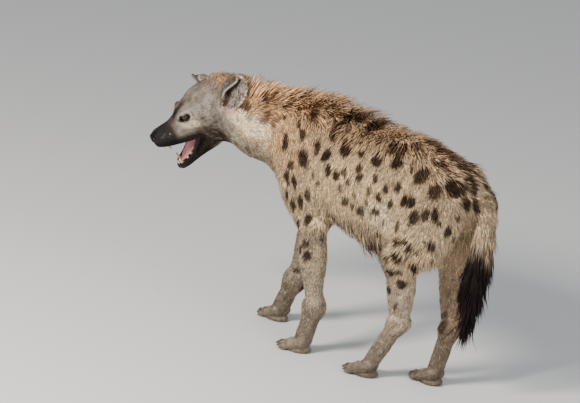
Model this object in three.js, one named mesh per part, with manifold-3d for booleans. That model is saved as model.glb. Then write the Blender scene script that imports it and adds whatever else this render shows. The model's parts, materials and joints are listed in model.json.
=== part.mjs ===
// A life-size spotted hyena, standing with its neck turned to its left and its mouth open.
// Millimetres, +Z up. The animal faces -X and its left side is towards -Y. It stands on the plane z = 0.
//
// The body is described once, as a field: a function that is negative inside the flesh and positive outside.
// Bones and muscles are short forms that melt together. Each limb, the trunk, the neck and the head are then
// lofted: rings of points are cast from an inner axis out to the field's surface.
import * as THREE from "three";
import { mergeVertices } from "three/addons/utils/BufferGeometryUtils.js";
import Module from "manifold-3d";

const wasm = await Module();
wasm.setup();

// Driving dimensions
const GAP = 0.3; // clearance kept between neighbouring nodes
const SIDE = { left: -1, right: 1 }; // sign of y
const EYE_RADIUS = 12.5;
const GAPE = 24; // degrees that the lower jaw hangs below the line of the skull
const HEAD_YAW = 54; // degrees that the head is turned to the animal's left
const HEAD_PITCH = 25; // degrees, nose down
const HEAD_ROLL = 12; // degrees, crown towards the animal's left
const HEAD_AT = vec(-605, -55, 707); // midway between the ear bases
const MANE_LENGTH = 72;
const BACK_LENGTH = 68;
const BELLY_LENGTH = 40;
const BRUSH_LENGTH = 150;

// Joints of the skeleton in the standing pose
const JOINTS = {
  foreleg_left: {
    blade: vec(-232, -52, 722),
    shoulder: vec(-308, -90, 580),
    elbow: vec(-166, -80, 405),
    wrist: vec(-133, -76, 155),
    knuckle: vec(-156, -84, 46),
    toe: vec(-222, -98, 15),
  },
  foreleg_right: {
    blade: vec(-250, 52, 722),
    shoulder: vec(-328, 90, 582),
    elbow: vec(-272, 88, 390),
    wrist: vec(-350, 78, 152),
    knuckle: vec(-398, 82, 46),
    toe: vec(-466, 88, 15),
  },
  hindleg_left: {
    hip: vec(300, -72, 592),
    knee: vec(190, -98, 404),
    hock: vec(182, -56, 190),
    knuckle: vec(112, -78, 46),
    toe: vec(42, -90, 15),
  },
  hindleg_right: {
    hip: vec(300, 72, 592),
    knee: vec(244, 98, 388),
    hock: vec(312, 34, 190),
    knuckle: vec(274, 36, 46),
    toe: vec(203, 40, 15),
  },
};

// Vectors and small sums
function vec(x, y, z) {
  return new THREE.Vector3(x, y, z);
}
const mix = (a, b, t) => a.clone().lerp(b, t);
const clamp = THREE.MathUtils.clamp;
const radians = THREE.MathUtils.degToRad;
const X = vec(1, 0, 0);
const Y = vec(0, 1, 0);
const Z = vec(0, 0, 1);

// The same random draws on every run
function seeded(seed) {
  let state = seed;
  return () => {
    state = (state * 1664525 + 1013904223) % 4294967296;
    return state / 4294967296;
  };
}

// A local frame: forward, left and up from an origin
class Frame {
  constructor(origin, forward, left, up) {
    Object.assign(this, { origin, forward, left, up });
  }
  at(s, l, t) {
    return this.origin
      .clone()
      .addScaledVector(this.forward, s)
      .addScaledVector(this.left, l)
      .addScaledVector(this.up, t);
  }
  way(s, l, t) {
    return this.at(s, l, t).sub(this.origin).normalize();
  }
  local(p) {
    const q = p.clone().sub(this.origin);
    return [q.dot(this.forward), q.dot(this.left), q.dot(this.up)];
  }
}

function headFrame() {
  const [yaw, pitch, roll] = [HEAD_YAW, HEAD_PITCH, HEAD_ROLL].map(radians);
  const forward = vec(
    -Math.cos(yaw) * Math.cos(pitch),
    -Math.sin(yaw) * Math.cos(pitch),
    -Math.sin(pitch),
  );
  const left = vec(Math.sin(yaw), -Math.cos(yaw), 0);
  const up = forward.clone().cross(left).normalize();
  up.multiplyScalar(Math.sign(up.z));
  const tiltedLeft = left.clone().multiplyScalar(Math.cos(roll)).addScaledVector(up, -Math.sin(roll));
  const tiltedUp = up.clone().multiplyScalar(Math.cos(roll)).addScaledVector(left, Math.sin(roll));
  return new Frame(HEAD_AT, forward, tiltedLeft, tiltedUp);
}
const TRUNK = new Frame(vec(0, 0, 0), X, Y, Z);
const HEAD = headFrame();
const JAW_ROOT = [75, 0, -108]; // in the head's frame
const jawAngle = radians(GAPE);
const JAW = new Frame(
  HEAD.at(...JAW_ROOT),
  HEAD.way(Math.cos(jawAngle), 0, -Math.sin(jawAngle)),
  HEAD.left,
  HEAD.way(Math.sin(jawAngle), 0, Math.cos(jawAngle)),
);

// Forms of flesh, each a function of a point
function bone(a, b, ra, rb, flat = 1, side = Y) {
  const stretch = (v) => v.addScaledVector(side, v.dot(side) * (1 / flat - 1));
  const ab = stretch(b.clone().sub(a));
  return (p) => {
    const ap = stretch(p.clone().sub(a));
    const t = clamp(ap.dot(ab) / ab.lengthSq(), 0, 1);
    return ap.addScaledVector(ab, -t).length() - (ra + (rb - ra) * t);
  };
}

function muscle(a, b, radius, flat = 1, side = Y) {
  const middle = mix(a, b, 0.5);
  const half = a.distanceTo(b) / 2;
  const axis = b.clone().sub(a).normalize();
  const across = side.clone().addScaledVector(axis, -side.dot(axis)).normalize();
  const other = axis.clone().cross(across);
  return (p) => {
    const q = p.clone().sub(middle);
    const parts = [[q.dot(axis), half], [q.dot(across), radius * flat], [q.dot(other), radius]];
    const near = Math.hypot(...parts.map(([x, r]) => x / r));
    const steep = Math.hypot(...parts.map(([x, r]) => x / (r * r)));
    return steep > 0 ? (near * (near - 1)) / steep : -radius * flat;
  };
}

// Values of a table of stations, on a smooth curve through its rows
function along(table, s) {
  const last = table.length - 1;
  const x = clamp(s, table[0][0], table[last][0]);
  let i = 0;
  while (i < last - 1 && x > table[i + 1][0]) i += 1;
  const [before, from, to, after] = [i - 1, i, i + 1, i + 2].map((n) => table[clamp(n, 0, last)]);
  const span = to[0] - from[0];
  const t = (x - from[0]) / span;
  return from.slice(1).map((value, n) => {
    const rise = ((to[n + 1] - before[n + 1]) / (to[0] - before[0])) * span;
    const fall = ((after[n + 1] - value) / (after[0] - from[0])) * span;
    const step = to[n + 1] - value;
    return value + rise * t + (3 * step - 2 * rise - fall) * t * t + (rise + fall - 2 * step) * t * t * t;
  });
}

// A long form with oval sections, from rows of [station, top, bottom, half width]. egg widens it below.
function barrel(frame, table, egg = 0) {
  const [first, last] = [table[0][0], table[table.length - 1][0]];
  return (p) => {
    const [s, l, t] = frame.local(p);
    const [top, bottom, half] = along(table, s);
    const tall = Math.max((top - bottom) / 2, 1);
    const height = (t - (top + bottom) / 2) / tall;
    const wide = Math.max(half, 1) * (1 - egg * clamp(height, -1, 1));
    const section = (Math.hypot(l / wide, height) - 1) * Math.min(wide, tall);
    const past = Math.max(first - s, s - last, 0);
    return past > 0 ? Math.hypot(Math.max(section, 0), past) : section;
  };
}

function blend(width, ...forms) {
  return (p) =>
    forms.map((form) => form(p)).reduce((a, b) => {
      const share = Math.max(width - Math.abs(a - b), 0) / width;
      return Math.min(a, b) - (share * share * width) / 4;
    });
}

// The trunk
const TRUNK_TABLE = [
  [-404, 640, 596, 22],
  [-386, 690, 552, 56],
  [-335, 746, 488, 90],
  [-240, 776, 444, 116],
  [-120, 776, 424, 128],
  [-40, 768, 404, 134],
  [50, 764, 394, 134],
  [130, 767, 402, 126],
  [200, 758, 440, 112],
  [270, 736, 478, 103],
  [335, 704, 520, 91],
  [385, 662, 560, 62],
  [408, 628, 592, 25],
];

const shoulder = ({ blade, shoulder: point, elbow }) => [
  muscle(blade.clone().add(vec(0, 0, 30)), mix(point, elbow, 0.4), 67, 0.54),
  muscle(mix(blade, point, 0.3).add(vec(50, 0, -10)), elbow.clone().add(vec(12, 0, 10)), 66, 0.62),
  muscle(point.clone().add(vec(2, 0, 42)), mix(point, elbow, 0.7), 46, 0.85),
];

const thigh = ({ hip, knee }) => {
  const inward = -Math.sign(hip.y);
  return [
    muscle(hip.clone().add(vec(6, inward * 8, 96)), knee.clone().add(vec(0, 0, -34)), 98, 0.52),
    muscle(hip.clone().add(vec(48, inward * 10, 40)), mix(hip, knee, 0.75).add(vec(50, 0, -20)), 66, 0.66),
    muscle(hip.clone().add(vec(-66, 0, 50)), knee.clone().add(vec(-20, 0, -6)), 58, 0.66),
  ];
};

const trunkField = blend(
  46,
  barrel(TRUNK, TRUNK_TABLE, 0.1),
  ...["foreleg_left", "foreleg_right"].flatMap((name) => shoulder(JOINTS[name])),
  ...["hindleg_left", "hindleg_right"].flatMap((name) => thigh(JOINTS[name])),
);

// The neck is deep and flat-sided, and bends to the left
const NECK_AXIS = [
  [vec(-235, 0, 632), 138, 0.78],
  [vec(-345, -4, 642), 122, 0.76],
  [vec(-455, -20, 655), 104, 0.76],
  [vec(-540, -34, 676), 88, 0.84],
  [vec(-602, -54, 694), 78, 0.94],
];
const neckPieces = NECK_AXIS.slice(1).map(([b, rb, flat], i) => {
  const [a, ra] = NECK_AXIS[i];
  const sideways = b.clone().sub(a).cross(Z).normalize();
  return bone(a, b, ra, rb, flat, sideways);
});
const neckField = blend(40, ...neckPieces);

// The head: rows of [forward, top, bottom, half width] in its own frame
const HEAD_TABLE = [
  [-75, 46, -70, 44],
  [-50, 66, -92, 60],
  [-15, 78, -112, 70],
  [25, 76, -126, 75],
  [60, 70, -122, 76],
  [95, 58, -98, 66],
  [120, 46, -78, 53],
  [145, 28, -70, 44],
  [170, 5, -68, 42],
  [195, -10, -63, 41],
  [220, -16, -65, 38],
  [238, -19, -64, 33],
  [248, -25, -58, 22],
  [254, -35, -46, 8],
];
const onBothSides = (make) => [SIDE.left, SIDE.right].map((side) => make(-side));
const headMuscles = onBothSides((l) => [
  muscle(HEAD.at(-15, l * 40, -92), HEAD.at(98, l * 50, -20), 50, 0.72, HEAD.left),
  muscle(HEAD.at(4, l * 57, -12), HEAD.at(116, l * 44, -14), 25, 0.8, HEAD.left),
  muscle(HEAD.at(-20, l * 27, 38), HEAD.at(112, l * 25, 29), 31, 0.9, HEAD.left),
  muscle(HEAD.at(104, l * 30, 20), HEAD.at(148, l * 26, 10), 12, 0.9, HEAD.left),
  muscle(HEAD.at(162, l * 24, -48), HEAD.at(242, l * 16, -50), 19, 0.9, HEAD.left),
  muscle(HEAD.at(98, l * 47, -46), HEAD.at(206, l * 30, -54), 18, 0.7, HEAD.left),
]).flat();
const headField = blend(22, barrel(HEAD, HEAD_TABLE, 0.12), ...headMuscles);

// The lower jaw: rows of [forward, top, bottom, half width] in the jaw's frame
const JAW_TABLE = [
  [-70, 40, -30, 30],
  [-40, 46, -40, 46],
  [0, 46, -38, 52],
  [24, 42, -33, 50],
  [40, 34, -29, 47],
  [64, 24, -25, 42],
  [88, 14, -23, 36],
  [112, 7, -21, 30],
  [132, 6, -16, 25],
  [142, 2, -8, 12],
];
const jawField = barrel(JAW, JAW_TABLE, -0.05);

// A paw: a pad, four toes and the knuckles above them
const TOES = [-1.5, -0.5, 0.5, 1.5];
function pawForms({ knuckle, toe }) {
  const ahead = toe.clone().sub(knuckle).setZ(0).normalize();
  const across = ahead.clone().cross(Z);
  const toes = TOES.map((n) => {
    const back = Math.abs(n) > 1 ? -13 : 0;
    const root = knuckle.clone().addScaledVector(across, n * 15).setZ(34);
    const tip = toe.clone().addScaledVector(across, n * 19).addScaledVector(ahead, back).setZ(11);
    return { root, tip, ahead };
  });
  const pad = muscle(
    knuckle.clone().addScaledVector(ahead, -28).setZ(10),
    knuckle.clone().addScaledVector(ahead, 62).setZ(10),
    34,
    0.6,
    Z,
  );
  return { toes, pad };
}
const pawField = (joints) => {
  const { toes, pad } = pawForms(joints);
  return blend(9, pad, ...toes.map(({ root, tip }) => bone(root, mix(root, tip, 0.7), 18, 14)));
};

function forelegField(joints) {
  const { elbow, wrist, knuckle } = joints;
  return blend(
    24,
    ...shoulder(joints),
    bone(mix(joints.shoulder, elbow, 0.4).add(vec(8, 0, 0)), elbow, 50, 44, 0.85),
    muscle(elbow.clone().add(vec(-8, 0, 48)), mix(elbow, wrist, 0.72), 46, 0.86),
    bone(elbow.clone().add(vec(18, 0, 8)), elbow.clone().add(vec(30, 0, 14)), 26, 20),
    bone(elbow, wrist, 40, 29, 0.92),
    muscle(wrist.clone().add(vec(2, 0, 40)), wrist.clone().add(vec(-6, 0, -44)), 31.5, 0.95),
    bone(wrist.clone().add(vec(14, 0, -8)), wrist.clone().add(vec(25, 0, -14)), 14, 9),
    bone(wrist, knuckle, 29, 30, 1.05),
    pawField(joints),
  );
}

function hindlegField(joints) {
  const { hip, knee, hock, knuckle } = joints;
  const calf = mix(knee, hock, 0.25).add(vec(34, 0, 16));
  const heel = hock.clone().add(vec(24, 0, 10));
  return blend(
    24,
    ...thigh(joints),
    bone(mix(hip, knee, 0.5).add(vec(8, 0, 0)), knee, 76, 56, 0.66),
    bone(knee, hock, 50, 27, 0.8),
    muscle(knee.clone().add(vec(30, 0, 50)), mix(knee, hock, 0.8).add(vec(14, 0, 0)), 42, 0.72),
    bone(calf, heel, 20, 14, 0.9),
    bone(hock, heel, 26, 16),
    bone(hock, knuckle, 29, 27),
    pawField(joints),
  );
}

// Solids
function solidOf(geometry) {
  const bare = geometry.clone();
  for (const name of Object.keys(bare.attributes)) if (name !== "position") bare.deleteAttribute(name);
  const merged = mergeVertices(bare, 1e-4);
  return new wasm.Manifold(
    new wasm.Mesh({
      numProp: 3,
      vertProperties: merged.attributes.position.array,
      triVerts: new Uint32Array(merged.index.array),
    }),
  );
}
const unite = (solids) => wasm.Manifold.union(solids);
const largest = (solid) => {
  const pieces = solid.decompose();
  return pieces.reduce((best, piece) => (piece.volume() > best.volume() ? piece : best));
};

// A closed solid from points and triangles, whichever way round the triangles are listed
function closed(points, triangles) {
  const build = (list) => {
    const geometry = new THREE.BufferGeometry().setFromPoints(points);
    geometry.setIndex(list.flat());
    return solidOf(geometry);
  };
  const solid = build(triangles);
  return solid.volume() > 0 ? solid : build(triangles.map(([a, b, c]) => [a, c, b]));
}

// A closed loft through rings that all have the same number of points
function loft(rings) {
  const sides = rings[0].length;
  const middle = (ring) => ring.reduce((sum, p) => sum.add(p), vec(0, 0, 0)).divideScalar(sides);
  const last = rings.length - 1;
  const points = [middle(rings[0]), ...rings.flat(), middle(rings[last])];
  const end = points.length - 1;
  const id = (ring, n) => 1 + ring * sides + (n % sides);
  const triangles = [];
  for (let n = 0; n < sides; n += 1) {
    triangles.push([0, id(0, n + 1), id(0, n)], [end, id(last, n), id(last, n + 1)]);
    for (let r = 0; r < last; r += 1) {
      triangles.push([id(r, n), id(r, n + 1), id(r + 1, n + 1)], [id(r, n), id(r + 1, n + 1), id(r + 1, n)]);
    }
  }
  return closed(points, triangles);
}

// A thin closed plate between two grids of points
function plate(front, back) {
  const [rows, columns] = [front.length, front[0].length];
  const points = [...front.flat(), ...back.flat()];
  const id = (side, r, c) => side * rows * columns + r * columns + c;
  const triangles = [];
  const quad = (a, b, c, d) => triangles.push([a, b, c], [a, c, d]);
  for (let r = 0; r < rows - 1; r += 1) {
    for (let c = 0; c < columns - 1; c += 1) {
      quad(id(0, r, c), id(0, r, c + 1), id(0, r + 1, c + 1), id(0, r + 1, c));
      quad(id(1, r, c), id(1, r + 1, c), id(1, r + 1, c + 1), id(1, r, c + 1));
    }
    quad(id(0, r, 0), id(0, r + 1, 0), id(1, r + 1, 0), id(1, r, 0));
    const c = columns - 1;
    quad(id(0, r, c), id(1, r, c), id(1, r + 1, c), id(0, r + 1, c));
  }
  for (let c = 0; c < columns - 1; c += 1) {
    quad(id(0, 0, c), id(1, 0, c), id(1, 0, c + 1), id(0, 0, c + 1));
    const r = rows - 1;
    quad(id(0, r, c), id(0, r, c + 1), id(1, r, c + 1), id(1, r, c));
  }
  return closed(points, triangles);
}

// A tapered strand through rows of [point, half width, half thickness]. up says which way the flat side faces.
function strand(rows, up, sides = 6) {
  return loft(
    rows.map(([point, wide, thick = wide], i) => {
      const before = rows[Math.max(i - 1, 0)][0];
      const after = rows[Math.min(i + 1, rows.length - 1)][0];
      const across = after.clone().sub(before).cross(up).normalize();
      const out = across.clone().cross(after.clone().sub(before)).normalize();
      return Array.from({ length: sides }, (_, n) => {
        const angle = (n / sides) * Math.PI * 2;
        return point
          .clone()
          .addScaledVector(across, wide * Math.cos(angle))
          .addScaledVector(out, thick * Math.sin(angle));
      });
    }),
  );
}

function ball(centre, radius, sides = 12) {
  const geometry = new THREE.SphereGeometry(radius, sides, Math.round(sides * 0.6));
  geometry.translate(centre.x, centre.y, centre.z);
  return solidOf(geometry);
}

// All of space beyond a plane, as a large block
function beyond(point, normal, size = 2400) {
  const block = new THREE.BoxGeometry(size, size, size);
  block.translate(0, 0, size / 2);
  block.applyQuaternion(new THREE.Quaternion().setFromUnitVectors(Z, normal.clone().normalize()));
  block.translate(point.x, point.y, point.z);
  return solidOf(block);
}

// How far the flesh reaches from an inner point along a direction
function reach(field, from, direction, past = 0, limit = 600) {
  const STEP = 3;
  const inside = (r) => field(from.clone().addScaledVector(direction, r)) < past;
  let far = STEP;
  while (inside(far) && far < limit) far += STEP;
  let near = far - STEP;
  for (let n = 0; n < 12; n += 1) {
    const half = (near + far) / 2;
    if (inside(half)) near = half;
    else far = half;
  }
  return clamp(near, 0.8, limit);
}

// A ring cast from a centre, in the plane of two directions
function castRing(field, centre, u, v, sides, past = 0, limit = () => 600) {
  return Array.from({ length: sides }, (_, n) => {
    const angle = (n / sides) * Math.PI * 2;
    const way = u.clone().multiplyScalar(Math.cos(angle)).addScaledVector(v, Math.sin(angle));
    return centre.clone().addScaledVector(way, reach(field, centre, way, past, limit(way)));
  });
}
const spaced = (from, to, count) =>
  Array.from({ length: count }, (_, n) => from + ((to - from) * n) / (count - 1));

// Where a ray from an inner point leaves the flesh, and the way straight out there
function skinAt(field, from, direction) {
  const point = from.clone().addScaledVector(direction, reach(field, from, direction));
  const slope = (axis) =>
    field(point.clone().addScaledVector(axis, 2)) - field(point.clone().addScaledVector(axis, -2));
  return { point, away: vec(slope(X), slope(Y), slope(Z)).normalize() };
}

// A lock of hair: flat, tapered and bent along its lie, with its root sunk in the skin
function lock({ point, away }, lie, { length, width, lift = 34, curl = 26, grow = 0 }) {
  const SINK = 11;
  const THICK = 3.8;
  const flow = lie.clone().addScaledVector(away, -lie.dot(away)).normalize();
  const at = point.clone().addScaledVector(away, -SINK);
  const steps = length > 60 ? [0, 0.36, 0.7, 1] : [0, 0.5, 1];
  const shape = [[0, 0.85], [0.4, 1], [0.75, 0.6], [1, 0.08]];
  const rows = steps.map((t, i) => {
    const angle = radians(lift + 16 * (i < 2 ? 1 : 0) - curl * t);
    const step = i > 0 ? (t - steps[i - 1]) * (length + SINK) : 0;
    at.addScaledVector(flow, step * Math.cos(angle)).addScaledVector(away, step * Math.sin(angle));
    const [taper] = along(shape, t);
    return [at.clone(), (width / 2) * taper + grow, THICK * Math.max(taper, 0.25) + grow];
  });
  return strand(rows, away, 4);
}

// Trunk
const TRUNK_SIDES = 22;
const TRUNK_STATIONS = [-404, -394, -376, -350, ...spaced(-318, 366, 18), 384, 398, 408];
const trunkLoft = (past) =>
  loft(
    TRUNK_STATIONS.map((x) => {
      const [top, bottom] = along(TRUNK_TABLE, x);
      return castRing(trunkField, vec(x, 0, (top + bottom) / 2), Y, Z, TRUNK_SIDES, past);
    }),
  );
const trunk = trunkLoft(0);
const trunkLarger = trunkLoft(GAP * 1.8);

// Legs: level slices, from the flat soles up to a plane that runs from the armpit or groin up and outwards
const LEG_SIDES = 12;
const LEG_LEVELS = [0, 7, 20, 36, 52, 76, 108, 134, 156, 184, 220, 264, 312, 358, 398, 432, 468, 506, 545];
function axisAt(joints, z) {
  const { knuckle, toe } = joints;
  const wrist = joints.wrist ?? joints.hock;
  const elbow = joints.elbow ?? joints.knee;
  const root = joints.shoulder ?? joints.hip;
  const sole = mix(knuckle, toe, 0.42).setZ(0);
  const top = mix(root, elbow, 0.25).add(vec(joints.blade ? 36 : 0, 0, 0));
  const stops = [sole, knuckle, wrist, elbow, top];
  const i = clamp(stops.findIndex((p) => z <= p.z) - 1, 0, 3);
  const from = z > top.z ? 3 : i;
  const [a, b] = [stops[from], stops[from + 1]];
  return mix(a, b, clamp((z - a.z) / (b.z - a.z), 0, 1)).setZ(z);
}

const toeSolid = ({ root, tip, ahead }) =>
  strand([[root, 15], [mix(root, tip, 0.62).setZ(23), 16], [tip.clone().addScaledVector(ahead, 9).setZ(11), 12]], Z, 6);
const claw = (tip, ahead) =>
  strand(
    [
      [tip.clone().addScaledVector(ahead, 6).setZ(18), 5.5],
      [tip.clone().addScaledVector(ahead, 20).setZ(13), 3.4],
      [tip.clone().addScaledVector(ahead, 24).setZ(8), 1],
    ],
    Z,
    4,
  );

// Each leg's plug in the trunk is cut by the plane through its hollow (armpit or groin)
const HOLLOW = {
  foreleg_left: vec(-170, -38, 452),
  foreleg_right: vec(-230, 38, 452),
  hindleg_left: vec(200, -34, 466),
  hindleg_right: vec(230, 34, 466),
};
function legSolid(name, field, past, lower) {
  const joints = JOINTS[name];
  const outward = Math.sign(joints.toe.y) || 1;
  const plane = vec(0, outward * 0.42, -0.9).normalize();
  const rings = LEG_LEVELS.map((z) => {
    const skin = z > 400 ? 1.6 : 0;
    const lengthways = (x) => (x > 0 && !joints.blade ? 138 * x : 84 * Math.abs(x));
    const plug = (way) => Math.max(clamp(190 * way.y * outward, 70, 170), lengthways(way.x));
    const limit = (way) => (z > 400 ? plug(way) : 170);
    return castRing(field, axisAt(joints, z), X, Y, LEG_SIDES, past + skin, limit);
  });
  return loft(rings).intersect(beyond(HOLLOW[name].clone().addScaledVector(plane, lower), plane));
}
function pairOfLeg(name, form) {
  const field = blend(24, form(JOINTS[name]), trunkField);
  const { toes } = pawForms(JOINTS[name]);
  const bare = legSolid(name, field, 0, GAP);
  const socket = legSolid(name, field, GAP * 1.8, 0);
  const feet = toes.flatMap((toe) => [toeSolid(toe), claw(toe.tip, toe.ahead)]);
  return { solid: unite([bare, ...feet]).subtract(beyond(vec(0, 0, 0), vec(0, 0, -1))), socket };
}
const legs = {
  foreleg_left: pairOfLeg("foreleg_left", forelegField),
  foreleg_right: pairOfLeg("foreleg_right", forelegField),
  hindleg_left: pairOfLeg("hindleg_left", hindlegField),
  hindleg_right: pairOfLeg("hindleg_right", hindlegField),
};

// Head and neck melt together; a plane behind the ears parts them
const upperField = blend(30, neckField, headField);
const NAPE = HEAD.at(-14, 0, 0);
const napeWay = HEAD.way(1, 0, 0.12);
const headStations = [-44, -22, 4, 30, 56, 80, 98, 112, 124, 136, 148, 162, 180, 200, 220, 235, 245, 251];
const headLoft = (past) =>
  loft(
    headStations.map((s) => {
      const [top, bottom] = along(HEAD_TABLE, s);
      return castRing(upperField, HEAD.at(s, 0, (top + bottom) / 2), HEAD.left, HEAD.up, 24, past);
    }),
  ).intersect(beyond(NAPE.clone().addScaledVector(napeWay, past > 0 ? 0 : GAP), napeWay));

const neckCurve = new THREE.CatmullRomCurve3(NECK_AXIS.map(([point]) => point));
const neckAt = (t) => {
  const axis = neckCurve.getTangentAt(t);
  const sideways = axis.clone().cross(Z).normalize();
  return { centre: neckCurve.getPointAt(t), axis, sideways, up: sideways.clone().cross(axis) };
};
const ahead = (past) => beyond(NAPE.clone().addScaledVector(napeWay, past), napeWay);
const neckLoft = (past) =>
  loft(
    spaced(0.02, 1, 11).map((t) => {
      const { centre, sideways, up } = neckAt(t);
      return castRing(upperField, centre, sideways, up, 20, past);
    }),
  ).subtract(ahead(past));

const jawStations = [-50, -20, 8, 30, 52, 76, 100, 122, 136, 141];
const jawLoft = (past) =>
  loft(
    jawStations.map((s) => {
      const [top, bottom] = along(JAW_TABLE, s);
      return castRing(jawField, JAW.at(s, 0, (top + bottom) / 2), JAW.left, JAW.up, 16, past);
    }),
  );

// Mouth: lips along the edges, the hollow of the palate, and the trough that holds the tongue
const mirrored = (rows) => [...rows.map(([s, l, t]) => [s, l, t]), ...rows.map(([s, l, t]) => [s, -l, t]).reverse()];
const upperLip = (grow) => strand(
  mirrored([[104, 49, -60], [120, 46, -67], [138, 43, -70], [156, 39, -70], [174, 37, -67], [190, 35, -61], [222, 27, -63], [241, 14, -62]])
    .map((row) => [HEAD.at(...row), 5 + grow, 6 + grow]),
  HEAD.up,
  5,
);
const lowerLip = strand(
  mirrored([[20, 50, 50], [42, 46, 35], [64, 42, 25], [88, 35, 15], [112, 28, 8], [130, 18, 6]])
    .map((row) => [JAW.at(...row), 5, 5]),
  JAW.up,
  5,
);
const palate = strand(
  [[84, 8, 10], [108, 20, 20], [150, 22, 19], [200, 18, 13], [230, 10, 8]].map(([s, w, h]) => [HEAD.at(s, 0, -74), w, h]),
  HEAD.up,
  8,
);
const trough = strand(
  [[6, 12, 12], [24, 32, 34], [60, 31, 28], [96, 24, 18], [122, 15, 12], [132, 6, 6]].map(([s, w, h]) => [
    JAW.at(s, 0, along(JAW_TABLE, s)[0] + 14), w, h]),
  JAW.up,
  8,
);
const TONGUE_ROWS = [[4, 20, 8, 26], [28, 24, 11, 22], [60, 22, 10, 12], [90, 17, 8, 4], [112, 12, 6, -1], [122, 7, 3, -1]];
const tongueForm = (extra) =>
  strand(TONGUE_ROWS.map(([s, w, h, t]) => [JAW.at(s, 0, t), w + extra, h + extra]), JAW.up, 8);

// Teeth: cones with sunk roots
const tooth = (frame, [s, l, t], [ds, dl, dt], height, radius) => {
  const root = frame.at(s, l, t);
  const way = frame.way(ds, dl, dt);
  return strand(
    [
      [root.clone().addScaledVector(way, -9), radius],
      [root.clone().addScaledVector(way, height * 0.45), radius * 0.8],
      [root.clone().addScaledVector(way, height), radius * 0.16],
    ],
    frame.forward.clone().addScaledVector(frame.left, 0.3),
    5,
  );
};
const bothSides = [-1, 1];
const upperTeeth = bothSides.flatMap((l) => [
  tooth(HEAD, [214, l * 24, -60], [-0.25, l * 0.1, -1], 22, 5.5),
  ...[6, 13].map((w) => tooth(HEAD, [238 - w * 0.5, l * w, -62], [0.1, 0, -1], 9, 3.4)),
  ...[140, 162, 184].map((s) => tooth(HEAD, [s, l * (50 - s * 0.12), -60], [0, 0, -1], 14, 6.5)),
]);
const lowerTeeth = bothSides.flatMap((l) => [
  tooth(JAW, [120, l * 18, 2], [0.1, l * 0.16, 1], 25, 5.5),
  ...[4, 11].map((w) => tooth(JAW, [135 - w * 0.3, l * w, 0], [0.3, 0, 1], 10, 3.2)),
  ...[54, 74, 94].map((s) => tooth(JAW, [s, l * (44 - s * 0.24), along(JAW_TABLE, s)[0] - 4], [0, 0, 1], 13, 6)),
]);

// Eyes sit deep, behind an upper and a lower lid
const EYE_AT = (l) => HEAD.at(133, l * 36, 10.5);
function lids(l) {
  const gaze = HEAD.way(0.5, l * 0.86, 0.1);
  const along1 = HEAD.way(0.86, -l * 0.5, -0.12);
  const up = gaze.clone().cross(along1);
  up.multiplyScalar(Math.sign(up.dot(HEAD.up)));
  const lid = (rise, bulk) =>
    strand(
      spaced(-1, 1, 6).map((a) => {
        const side = a * 0.98;
        const lift = rise * (1 - a * a);
        const way = gaze
          .clone()
          .multiplyScalar(Math.cos(side) * Math.cos(lift))
          .addScaledVector(along1, Math.sin(side) * Math.cos(lift))
          .addScaledVector(up, Math.sin(lift));
        return [EYE_AT(l).addScaledVector(way, EYE_RADIUS), bulk];
      }),
      gaze,
      5,
    );
  return [lid(0.62, 4.2), lid(-0.58, 3.4)];
}

const nostril = (l) =>
  strand([[HEAD.at(258, l * 8, -42), 4.5], [HEAD.at(246, l * 11, -38), 4.5], [HEAD.at(234, l * 14, -33), 2]], HEAD.up, 8);

// Ears: round cups on short stalks, with thin rims. Rows of [station, half width, depth of the cup].
const EAR_SHAPE = [
  [0, 14, 9],
  [0.14, 28, 15],
  [0.34, 38, 18],
  [0.58, 42, 18],
  [0.8, 36, 13],
  [0.94, 23, 7],
  [1, 9, 3],
];
// The left ear is turned back and outwards, and the right one is held out level
const EARS = {
  left: { root: [12, 104, 22], knee: [-21, 111, 61], tip: [-68, 80, 98], face: [0.3, 0.8, 0.52] },
  right: { root: [34, -44, 22], knee: [32, -80, 34], tip: [42, -130, 22], face: [0.89, 0, -0.45] },
};
function ear({ root, knee, tip, face }, grow = 0) {
  const spine = new THREE.QuadraticBezierCurve3(HEAD.at(...root), HEAD.at(...knee), HEAD.at(...tip));
  const grid = (behind) =>
    spaced(0, 1, 8).map((v) => {
      const [half, cup] = along(EAR_SHAPE, v);
      const lie = spine.getTangent(v);
      const opening = HEAD.way(...face);
      opening.addScaledVector(lie, -opening.dot(lie)).normalize();
      const across = lie.clone().cross(opening).normalize();
      return spaced(-1, 1, 8).map((u) => {
        const bend = Math.cos((u * Math.PI) / 2);
        const depth = cup * bend + (behind ? 2.2 + 3.6 * bend + grow : -grow);
        return spine
          .getPoint(v)
          .addScaledVector(lie, grow * (2 * v - 1))
          .addScaledVector(across, (half + grow) * u)
          .addScaledVector(opening, -depth);
      });
    });
  return plate(grid(false), grid(true));
}

// Tail: a slim core inside a long brush
const TAIL_LINE = [
  [vec(352, 0, 650), 38],
  [vec(392, 0, 634), 33],
  [vec(416, 0, 596), 27],
  [vec(422, 0, 548), 23],
  [vec(420, 0, 492), 21],
  [vec(415, 0, 422), 19],
  [vec(408, 0, 342), 14],
  [vec(402, 0, 272), 5],
];
const tailCore = strand(TAIL_LINE, Y, 10);

// Locks of the coat
const sectionWay = (angle) => vec(0, Math.sin(angle), Math.cos(angle));
function trunkPoint(x, angle) {
  const [top, bottom] = along(TRUNK_TABLE, x);
  return skinAt(trunkField, vec(x, 0, (top + bottom) / 2), sectionWay(angle));
}

function backLocks() {
  const random = seeded(11);
  return spaced(-258, 335, 14).flatMap((x) =>
    [-1, 1].map((side) => {
      const angle = side * (0.1 + 0.55 * random());
      const longer = x < -30 ? 1 : 0.66;
      const length = BACK_LENGTH * longer * (0.85 + 0.3 * random());
      const lift = (x < -30 ? 46 : 32) - 12 * Math.abs(angle);
      return lock(trunkPoint(x + 10 * random(), angle), vec(1, 0, -0.15), { length, width: 42, lift });
    }),
  );
}

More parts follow.
